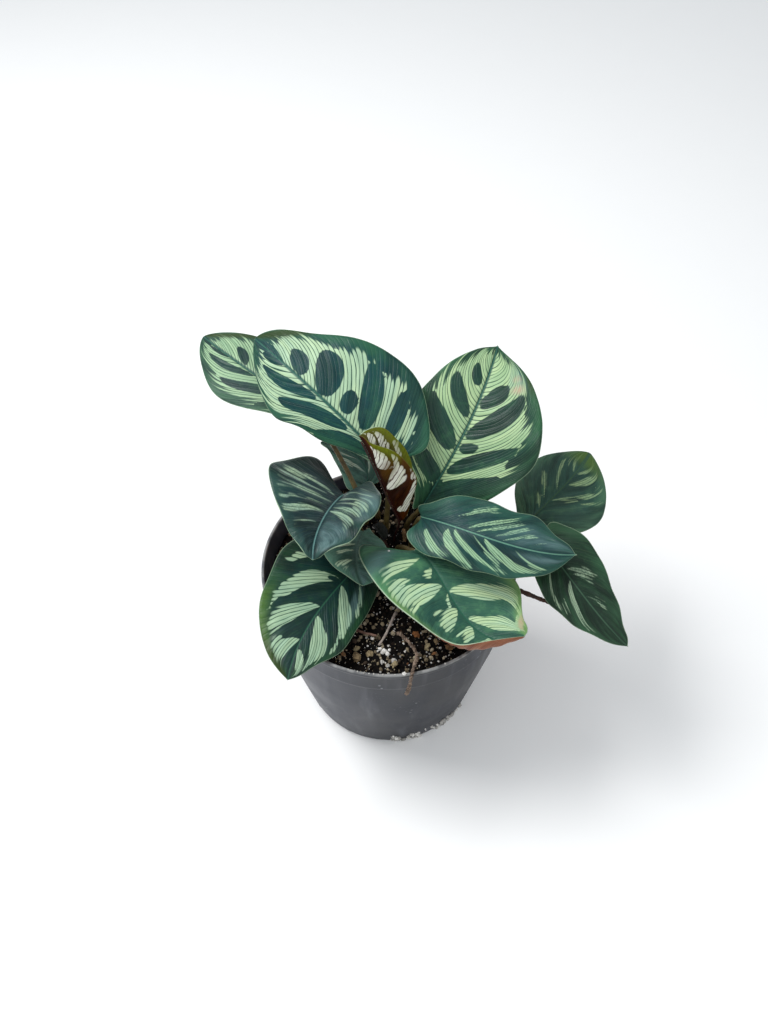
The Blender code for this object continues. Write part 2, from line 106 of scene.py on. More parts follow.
def layered(palette, colour, *layers):  # each layer is how far it covers, then its colour's name in the palette
    colour = colour if isinstance(colour, Value) else palette[colour]
    for share, over in layers:
        colour = mixed(share, colour, over if isinstance(over, Value) else palette[over])
    return colour


def speckle(place, scale, detail=3.0, rough=0.5):
    return addNode(place.tree, "TexNoise", [
        ("Vector", place), ("Scale", scale), ("Detail", detail), ("Roughness", rough)])


def stretched(place, scale, turn=(0, 0, 0)):
    return addNode(place.tree, "Mapping", [("Vector", place), ("Scale", scale), ("Rotation", turn)])


def parts(place):
    made = addNode(place.tree, "SeparateXYZ", [(0, place)])
    return [Value(made.node, output) for output in range(3)]


def attribute(tree, name, output="Fac"):
    return addNode(tree, "Attribute", (), output, attribute_name=name)


def newFinish(name, gloss=0.5):  # with its shader and the place on the object
    finish = bpy.data.materials.new(name)
    finish.use_nodes = True
    shader = finish.node_tree.nodes["Principled BSDF"].inputs
    fill(shader, "Specular IOR Level", gloss)
    return finish, shader, addNode(finish.node_tree, "TexCoord", (), "Object")


def feed(shader, colour, roughness, height=None, strength=1.0, distance=1.0):
    fill(shader, "Base Color", colour)
    fill(shader, "Roughness", roughness)
    if height:
        fill(shader, "Normal", addNode(
            height.tree, "Bump", [("Height", height), ("Strength", strength), ("Distance", distance)]))


def meshFrom(work, name, smooth=True):
    mesh = bpy.data.meshes.new(name)
    work.to_mesh(mesh)
    work.free()
    if smooth:
        mesh.shade_smooth()
    return mesh


def placed(name, data):
    made = bpy.data.objects.new(name, data)
    scene.collection.objects.link(made)
    return made


def baked(piece):  # its mesh with all modifiers, in place of the piece itself
    bpy.context.view_layer.update()
    mesh = bpy.data.meshes.new_from_object(piece.evaluated_get(bpy.context.evaluated_depsgraph_get()))
    bpy.data.objects.remove(piece)
    return mesh


def addPiece(name, mesh, finishes, slotName, *nodes):
    piece = placed(name, mesh)
    for finish in finishes:
        mesh.materials.append(finish)
    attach(piece, "root")
    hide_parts(*nodes)
    return piece


def around(reach, angle):
    return reach * math.cos(angle), reach * math.sin(angle)


def curved(before, first, last, after, step):  # a Catmull-Rom curve from the first to the last
    return first + 0.5 * step * (last - before + step * (
        2 * before - 5 * first + 4 * last - after + step * (3 * (first - last) + after - before)))


def unit(rows):
    return rows / np.linalg.norm(rows, axis=-1, keepdims=True)


# Camera, light and floor

studio = dict(
    cameraPlace=(-1.91, -271.75, 480.87), lookDown=51.74, cameraRoll=-0.68, lens=35,
    skyColour="#E6EBF0", skyStrength=0.66,
    keyPlace=(-480, 160, 860), keySize=450, keyPower=7.5,
    fillPlace=(350, -600, 700), fillSize=700, fillPower=2, aimHeight=100, nearest=10,
    floorColour="#FBFBFA", floorSide=6000)


def buildStudio():
    camera = placed("camera", bpy.data.cameras.new("camera"))
    camera.location = Vector(studio["cameraPlace"]) * mm
    tilt = Matrix.Rotation(math.radians(90 - studio["lookDown"]), 3, "X")
    roll = Matrix.Rotation(math.radians(studio["cameraRoll"]), 3, "Z")
    camera.rotation_euler = (tilt @ roll).to_euler()
    camera.data.lens = studio["lens"]
    camera.data.clip_start = studio["nearest"] * mm
    scene.camera = camera
    scene.view_settings.view_transform = "Standard"

    scene.world = bpy.data.worlds.new("soft sky")
    scene.world.use_nodes = True
    sky = scene.world.node_tree.nodes["Background"].inputs
    sky[0].default_value, sky[1].default_value = tint(studio["skyColour"]), studio["skyStrength"]
    for name in ("key", "fill"):
        light = bpy.data.lights.new(name, "AREA")
        light.energy = studio[name + "Power"]
        light.size = studio[name + "Size"] * mm
        lamp = placed(name, light)
        lamp.location = Vector(studio[name + "Place"]) * mm
        aim = Vector((0, 0, studio["aimHeight"] * mm)) - lamp.location
        lamp.rotation_euler = aim.to_track_quat("-Z", "Y").to_euler()

    work = bmesh.new()
    bmesh.ops.create_grid(work, x_segments=1, y_segments=1, size=studio["floorSide"] * mm / 2)
    finish, shader, place = newFinish("pale floor")
    feed(shader, studio["floorColour"], rise(speckle(place, 40), 0.3, 0.7, 0.75, 0.85))
    floor = placed("floor", meshFrom(work, "floor"))
    floor.data.materials.append(finish)


buildStudio()
print("camera, light and floor")


# Pot

pot = dict(
    rimRadius=60, rimHeight=97, wall=1.4, collarBottom=82, collarStep=1.4,
    footRadius=44, floorTop=3.2, floorRadius=42.4, turns=160,
    # the corners of the rolled rim, the collar's step, the wall and foot, the floor inside and the lip, each as a
    # step from the sizes above, and those of the recess under the foot from the middle
    rimCorners=((-0.5, 0), (-0.15, -0.15), (0, -0.5), (0, -1.9), (-0.12, -2.3), (-0.45, -2.6), (-0.65, -3),
                (-1.1, -5)),
    collarCorners=((0.15, 2), (0, 0.7), (-0.1, 0.35), (-0.4, 0.05), (-0.9, -0.15), (-1.3, -0.45), (-1.4, -1),
                   (-1.75, -3)),
    footCorners=((11.6, 59), (7.6, 38), (3.7, 18), (0.9, 4), (0.55, 2.2), (0.2, 0.9), (-0.5, 0.1), (-0.9, 0)),
    recessCorners=((41, 0), (40.3, 0.3), (40, 1.6), (16, 1.6), (15.5, 0.3), (15, 0), (0, 0)),
    floorCorners=((-42.4, 0), (-2, 0), (0, 1.5)), innerHeights=(30, 60, 86, 95.5),
    lipCorners=((-1.4, -0.6), (-1.2, -0.15), (-0.9, 0)),
    drainRadius=4, drainRing=28, drainCount=6, drainSides=32, plugDepth=8, plugHeight=2, sharpAngle=38,
    ribAngles=(-146, -122, -99, -72, -52, -18, 12, 40, 75, 108, 140, 170), ribHeight=0.35, ribWidth=1.6,
    ribBottom=2, ribStop=1,
    # the lighter grey laid over the left side is painted light, where the key lamp falls
    colour="#2E3036", dark="#212226", faded="#454955", dust="#6E7078", spot="#AEB0B4", worn="#9A9A98", gloss=0.25)


def potInner(height):  # the plain cone inside, from the floor to the rim
    share = (height - pot["floorTop"]) / (pot["rimHeight"] - pot["floorTop"])
    return pot["floorRadius"] + share * (pot["rimRadius"] - pot["wall"] - pot["floorRadius"])


def cornersAt(reach, height, offsets):
    return [(reach + aside, height + up) for aside, up in offsets]


def potProfile():  # down the outside from the rolled rim to the recess, then the inside, as radius and height
    rim, low = (pot["rimRadius"], pot["rimHeight"]), pot["collarBottom"]
    collar = potInner(low) + pot["wall"] + pot["collarStep"]
    outside = cornersAt(*rim, pot["rimCorners"]) + cornersAt(collar, low, pot["collarCorners"])
    outside += cornersAt(pot["footRadius"], 0, pot["footCorners"]) + list(pot["recessCorners"])
    inside = cornersAt(pot["floorRadius"], pot["floorTop"], pot["floorCorners"])
    inside += [(potInner(height), height) for height in pot["innerHeights"]]
    return outside, inside + cornersAt(*rim, pot["lipCorners"])


def buildPot():
    work = bmesh.new()
    outside, inside = potProfile()
    corners = [work.verts.new((radius * mm, 0, height * mm)) for radius, height in outside + inside]
    for index in range(len(corners) - 1):
        if index != len(outside) - 1:
            work.edges.new((corners[index], corners[index + 1]))
    work.edges.new((corners[-1], corners[0]))
    bmesh.ops.spin(
        work, geom=work.verts[:] + work.edges[:], cent=(0, 0, 0), axis=(0, 0, 1), angle=math.tau,
        steps=pot["turns"], use_merge=True, use_duplicate=False)
    bmesh.ops.remove_doubles(work, verts=work.verts, dist=0.01 * mm)
    bmesh.ops.recalc_face_normals(work, faces=work.faces)
    for vert in work.verts:  # shallow upright ribs that run down the wall under the collar
        reach, height = math.hypot(vert.co.x, vert.co.y) / mm, vert.co.z / mm
        outer = reach > potInner(height) + pot["wall"] / 2
        if outer and pot["ribBottom"] < height < pot["collarBottom"] - pot["ribStop"]:
            turn = math.degrees(math.atan2(vert.co.y, vert.co.x))
            gap = min(abs((turn - rib + 180) % 360 - 180) for rib in pot["ribAngles"])
            share = max(0.0, 1 - math.radians(gap) * reach / pot["ribWidth"])
            vert.co.x *= 1 + pot["ribHeight"] * share / reach
            vert.co.y *= 1 + pot["ribHeight"] * share / reach
    piece = placed("nursery_pot", meshFrom(work, "nursery_pot"))

    plugs = bmesh.new()
    for index in range(pot["drainCount"]):
        angle = math.tau * (index + 0.5) / pot["drainCount"]
        made = bmesh.ops.create_cone(
            plugs, cap_ends=True, segments=pot["drainSides"], radius1=pot["drainRadius"] * mm,
            radius2=pot["drainRadius"] * mm, depth=pot["plugDepth"] * mm)
        place = Vector((*around(pot["drainRing"], angle), pot["plugHeight"])) * mm
        bmesh.ops.translate(plugs, verts=made["verts"], vec=place)
    cutter = placed("drain_plugs", meshFrom(plugs, "drain_plugs"))
    cut = piece.modifiers.new("drain holes", "BOOLEAN")
    cut.operation, cut.object, cut.solver = "DIFFERENCE", cutter, "EXACT"
    mesh = baked(piece)
    bpy.data.objects.remove(cutter)
    mesh.materials.clear()
    mesh.set_sharp_from_angle(angle=math.radians(pot["sharpAngle"]))
    addPiece("nursery_pot", mesh, [potFinish()], "pot_plastic", "pot")


def potFinish():
    finish, shader, place = newFinish("moulded grey plastic", pot["gloss"])
    aside, _, height = parts(place)
    cloud, rare = speckle(place, 28, 4), speckle(place, 55, 2)
    streak = speckle(stretched(place, (1, 1, 0.12)), 160, 4)
    scuff = speckle(stretched(place, (1, 1, 3), (0.3, 0.5, 0)), 420, 5, 0.7)
    drops = addNode(place.tree, "TexVoronoi", [("Vector", place), ("Scale", 260)], "Distance")
    spots = rise(drops, 0.22, 0.12) * rise(rare, 0.56, 0.66)
    rim = pot["rimHeight"] * mm
    colour = layered(
        pot, "dark",
        (rise(cloud, 0.35, 0.65), "colour"),
        # painted light: a lighter grey towards the left side, where the key lamp falls
        (rise(aside, 0.01, -0.05, 0, 0.7), "faded"),
        (rise(streak, 0.5, 0.8, 0, 0.3), "dust"),
        # dried water spots, scuffs and the worn rim
        (spots * 0.5, "spot"),
        (rise(scuff, 0.62, 0.72) * rise(cloud, 0.5, 0.62) * 0.4, "spot"),
        (rise(height, rim - 0.0015, rim - 0.0002) * rise(streak, 0.3, 0.6, 0.2, 0.75), "worn"))
    relief = speckle(place, 1800, 2) + streak * 0.8
    feed(shader, colour, rise(cloud + spots, 0.3, 0.8, 0.36, 0.58), relief, 0.25, 0.0001)
    return finish


buildPot()
print("pot")


# Soil

soil = dict(
    level=88.5, mound=1.8, moundReach=22, roughness=0.9, lump=7, crown=(2, 20), gap=0.3,
    dip=2.5, dipStart=25, dipReach=30,  # how it falls away towards the left
    # middle is the share of a ring that is left at the centre, and edge is how near the wall a place is put on it
    segments=150, rings=44, middle=0.6, edge=0.4, crumbDepth=1.1, crumbSize=2.6, fineDepth=0.5, fineSize=1.1,
    peat="#100C0A", dust="#2A2019", wet="#050403", gloss=0.12)


def soilHeight(x, y):  # in millimetres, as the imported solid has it
    reach = math.hypot(x - soil["crown"][0], y - soil["crown"][1])
    mound = soil["mound"] * math.exp(-((reach / soil["moundReach"]) ** 2))
    lumps = soil["roughness"] * noise.noise(Vector((x, y, 0)) / soil["lump"])
    return soil["level"] + mound + lumps - soil["dip"] * max(0.0, -x - soil["dipStart"]) / soil["dipReach"]


def fineHeight(x, y):  # with peat crumbs on it
    crumbs = noise.noise(Vector((x, y, 7)) / soil["crumbSize"]) * soil["crumbDepth"]
    fine = noise.noise(Vector((x, y, 3)) / soil["fineSize"]) * soil["fineDepth"]
    return soilHeight(x, y) + crumbs + fine


def buildSoil():
    base = pot["floorTop"] + soil["gap"]
    lowRadius, topRadius = (potInner(height) - soil["gap"] for height in (base, soil["level"]))
    work = bmesh.new()
    bmesh.ops.create_cone(
        work, cap_ends=True, segments=soil["segments"], radius1=lowRadius * mm, radius2=topRadius * mm,
        depth=(soil["level"] - base) * mm)
    bmesh.ops.translate(work, verts=work.verts, vec=(0, 0, (soil["level"] + base) / 2 * mm))
    top = max(work.faces, key=lambda face: face.calc_center_median().z)
    for _ in range(soil["rings"]):
        bmesh.ops.inset_region(work, faces=[top], thickness=topRadius / (soil["rings"] + soil["middle"]) * mm)
    bmesh.ops.poke(work, faces=[top])
    for vert in work.verts:
        if vert.co.z > (soil["level"] - soil["gap"]) * mm:
            x, y = vert.co.x / mm, vert.co.y / mm
            height = fineHeight(x, y)
            limit = potInner(height) - soil["gap"]
            if math.hypot(x, y) > limit - soil["edge"]:
                vert.co.x *= limit / math.hypot(x, y)
                vert.co.y *= limit / math.hypot(x, y)
            vert.co.z = height * mm
    bmesh.ops.recalc_face_normals(work, faces=work.faces)
    addPiece("potting_soil", meshFrom(work, "potting_soil"), [soilFinish()], "soil", "soil")


def soilFinish():
    finish, shader, place = newFinish("damp peat", soil["gloss"])
    fine, broad = speckle(place, 900, 5, 0.65), speckle(place, 120, 3)
    damp = rise(broad, 0.5, 0.75) * rise(fine, 0.5, 0.7)
    colour = layered(soil, "wet", (rise(fine, 0.35, 0.7), "peat"), (damp, "dust"))
    feed(shader, colour, rise(broad, 0.3, 0.7, 0.7, 0.95), fine + speckle(place, 2600, 3), 0.9, 0.0006)
    return finish


def grainFinish(name, tones, bumpScale, bumpDepth, roughness, gloss=0.3):
    finish, shader, place = newFinish(name, gloss)
    tone, fine = attribute(place.tree, "grainTone"), speckle(place, bumpScale, 4, 0.6)
    colour = layered(tones, 0, (rise(tone, 0.0, 0.5), 1), (rise(tone, 0.5, 1.0), 2))
    colour = mixed(rise(fine, 0.6, 0.3, 0, 0.45), colour, tones[0], "MULTIPLY")
    feed(shader, colour, rise(fine, 0.3, 0.7, roughness, roughness + 0.12), fine, 0.8, bumpDepth)
    return finish


# The grains, strewn in this order: how many, their radii and shapes, how deep they lie and their finish. The places
# are the large ones that the photo shows, with their radii and how they shade from dark to light.
lumpy, flat = ((0.8, 1.2), (0.65, 1.0), (0.6, 0.95)), ((1.0, 1.3), (0.7, 1.0), (0.5, 0.8))
grains = dict(
    peat_crumbs=dict(
        count=2600, radii=(0.35, 1.3), shapes=lumpy, sink=0.25, places=(),
        look=("peat crumbs", ("#060504", "#120D0A", "#281D16"), 1900, 0.0005, 0.85, 0.12)),
    perlite_grains=dict(
        count=1500, radii=(0.18, 0.85), shapes=lumpy, sink=0.4,
        look=("perlite", ("#8E8C88", "#C4C1BB", "#EDEBE6"), 2400, 0.0004, 0.8),
        places=((-4.5, -41.5, 1.1, 0.9), (-2.5, -42.6, 1.3, 1.0), (-1, -44, 1.2, 0.8), (-3.4, -43.6, 0.9, 0.6),
                (-0.2, -42.2, 0.9, 1.0), (-5.6, -42.6, 0.8, 0.8), (-15.8, -31.6, 0.8, 1.0), (-3.5, -48.5, 1.4, 0.4),
                (-1, -50.5, 1.2, 0.3), (1.5, -47.6, 1.5, 0.5), (23, -36, 1.3, 0.4), (-8, -36, 1.0, 0.7),
                (-30, -27, 1.3, 0.6), (-38, 8, 1.4, 0.8), (-44, 16, 1.2, 0.9), (-4.5, 24, 1.2, 0.9),
                (-7, 27, 1.0, 0.7))),
    grit_grains=dict(
        count=2100, radii=(0.3, 1.45), shapes=lumpy, sink=0.3, places=(),
        look=("grit and husks", ("#3A2E24", "#857860", "#B2A68E"), 2400, 0.0004, 0.85)),
    bark_chips=dict(
        count=40, radii=(0.6, 1.2), shapes=flat, sink=0.25,
        look=("bark chips", ("#33241A", "#80532F", "#9C9070"), 900, 0.0009, 0.85),
        places=((12, -34, 1.9, 0.5), (-15, -46, 2.2, 0.8), (17, -41, 1.8, 0.95), (-9, -44, 1.8, 0.85),
                (27, -41, 2.0, 0.65), (-21, -44, 1.4, 0.7), (-15, -41, 1.3, 0.9), (21, -38, 1.5, 0.8),
                (31, -36, 1.6, 0.75), (20, -44, 1.4, 0.6), (2, -50, 1.6, 0.9), (0, 27, 1.8, 0.9),
                (-3, 30, 1.5, 1.0))))
spilled = dict(
    # the crumbs on the rim, each with its angle, radius and shade
    rim=((-84.2, 1.0, 0.9), (-93, 0.45, 0.3), (-97, 0.4, 0.5), (-101, 0.5, 0.2), (-104, 0.4, 0.6), (-88, 0.35, 0.4),
         (-108, 0.35, 0.3), (-66, 0.4, 0.4), (-99, 0.3, 0.7), (-95, 0.3, 0.6)), rimInset=0.75,
    blade=("front", 0.055, 0.6, 0.55),  # one on a blade, with its place along and across, and its radius
    # those that stick near the pot's foot: how many, the arc, how high and how large
    foot=70, footArc=(-90, 55), footHeight=(0.9, 9), footRadii=(0.4, 1.5), shape=(1, 0.9, 0.8),
    # how they gather along the arc and low down, how far out they sit, and how high each kind lies by its radius
    gather=(1.2, 1.6), footGap=(0.1, 0.2, 0.3), rimRest=0.4, bladeRest=0.8, footRest=1.15)
scatter = dict(
    seed=21, keepClear=2.0, inset=1, smallness=3, batch=60, spread=(0.8, 1.12), chip=0.4, chipSize=1.7, lean=0.7)


def openSpot(x, y, radius, taken):
    clear = all(math.dist((x, y), spot[:2]) > radius + spot[2] for spot in taken)
    return clear and math.hypot(x, y) < potInner(soil["level"]) - soil["gap"] - radius


def addGrain(work, draw, place, radius, shape, tone, detail=1):  # the detailed ones have chipped sides
    layer = work.verts.layers.float["grainTone"]
    made = bmesh.ops.create_icosphere(work, subdivisions=detail, radius=radius * mm)
    side = Vector((place[0], place[1], 0))
    for vert in made["verts"]:
        chipped = noise.noise(vert.co / radius / mm * scatter["chipSize"] + side) if detail > 1 else 0
        vert.co *= draw.uniform(*scatter["spread"]) + scatter["chip"] * chipped
        vert[layer] = tone
    turned = Matrix.Translation(Vector(place) * mm)
    for axis, low, high in (("Z", 0, math.tau), ("X", -scatter["lean"], scatter["lean"]),
                            ("Y", -scatter["lean"], scatter["lean"])):
        turned = turned @ Matrix.Rotation(draw.uniform(low, high), 4, axis)
    bmesh.ops.transform(work, verts=made["verts"], matrix=turned @ Matrix.Diagonal((*shape, 1)))


def grainMesh():
    work = bmesh.new()
    work.verts.layers.float.new("grainTone")
    return work


def strewGrains(kind, draw, taken):
    work, batch = grainMesh(), grainMesh()
    top, (small, large) = potInner(soil["level"]) - scatter["inset"], kind["radii"]
    spots = [(*place, 2) for place in kind["places"]]
    while len(spots) < kind["count"]:
        x, y = around(top * math.sqrt(draw.random()), draw.uniform(0, math.tau))
        radius = small + (large - small) * draw.random() ** scatter["smallness"]
        if openSpot(x, y, radius, taken):
            spots.append((x, y, radius, draw.random(), 1))
    held = bpy.data.meshes.new("grains")
    for index, (x, y, radius, tone, detail) in enumerate(spots, 1):
        shape = [draw.uniform(low, high) for low, high in kind["shapes"]]
        addGrain(batch, draw, (x, y, fineHeight(x, y) + radius * kind["sink"]), radius, shape, tone, detail)
        if index % scatter["batch"] == 0 or index == len(spots):  # an operator slows down in a large mesh
            batch.to_mesh(held)
            work.from_mesh(held)
            bmesh.ops.delete(batch, geom=batch.verts, context="VERTS")
    batch.free()
    bpy.data.meshes.remove(held)
    return work


def spillGrains(work, draw):  # a few crumbs on the rim and a blade, and some that stick to the wall near the foot
    shape = spilled["shape"]
    for turn, radius, tone in spilled["rim"]:
        x, y = around(pot["rimRadius"] - spilled["rimInset"], math.radians(turn))
        addGrain(work, draw, (x, y, pot["rimHeight"] + radius * spilled["rimRest"]), radius, shape, tone, 2)
    name, along, aside, radius = spilled["blade"]
    lying = bladePlaces(leaves[name], np.array([along]), np.array([aside]))[0][0]
    addGrain(work, draw, lying + (0, 0, radius * spilled["bladeRest"]), radius, shape, 1, 2)
    (start, arc), (low, more) = spilled["footArc"], spilled["footHeight"]
    (sideways, downward), (gap, leaning, out) = spilled["gather"], spilled["footGap"]
    for _ in range(spilled["foot"]):
        angle = math.radians(start + arc * draw.random() ** sideways)
        height, radius = low + more * draw.random() ** downward, draw.uniform(*spilled["footRadii"])
        x, y = around(pot["footRadius"] + gap + leaning * height + out * radius, angle)
        addGrain(work, draw, (x, y, max(height, spilled["footRest"] * radius)), radius, shape, draw.random())


def buildGrains():
    draw = random.Random(scatter["seed"])
    stalks = [(*leaf["foot"], scatter["keepClear"]) for leaf in leaves.values()]
    for name, kind in grains.items():
        work = strewGrains(kind, draw, stalks)
        if name == "perlite_grains":
            spillGrains(work, draw)
        addPiece(name, meshFrom(work, name, False), [grainFinish(*kind["look"])], "soil")


# Leaves

blade = dict(
    rows=180, columns=48, crowding=1.3, steps=12, thickness=0.5,
    # the outline's five stations, how round its base and tip are, and its lobes
    stations=(0.1, 0.3, 0.5, 0.7, 0.9), stationGap=0.2, baseRound=0.45, tipRound=0.6, pointReach=0.03,
    lobeReach=0.03, lobeFall=3, lobeSpread=1.5, leftPhase=1.7,
    # pleats that wander a little and fade near the midrib and the edge, and the groove over the midrib
    pleatDepth=0.2, pleatLines=3, wander=0.8, wanders=3, fadeWidth=4, fullWidth=12, midribDepth=0.35, midribWidth=0.9,
    # the marks: how oval the ovals are, how a streak swells and narrows, where ends start, and the bare midrib
    roundness=2.1, streak=(2.346, 0.8, 0.35), ends=(0.5, 0.4), bare=0.5, outside=-8.0)
stalk = dict(
    radius=1.3, foot=85, surface=92, firstPull=0.3, lastPull=0.15, thickening=1.15, taper=(1.1, 0.3),
    joint=0.22, jointPlace=0.88, jointLength=0.09, steps=30,
    rib=0.85, ribTipRadius=0.4, ribEnd=0.93, ribSteps=24, ribSink=0.95)
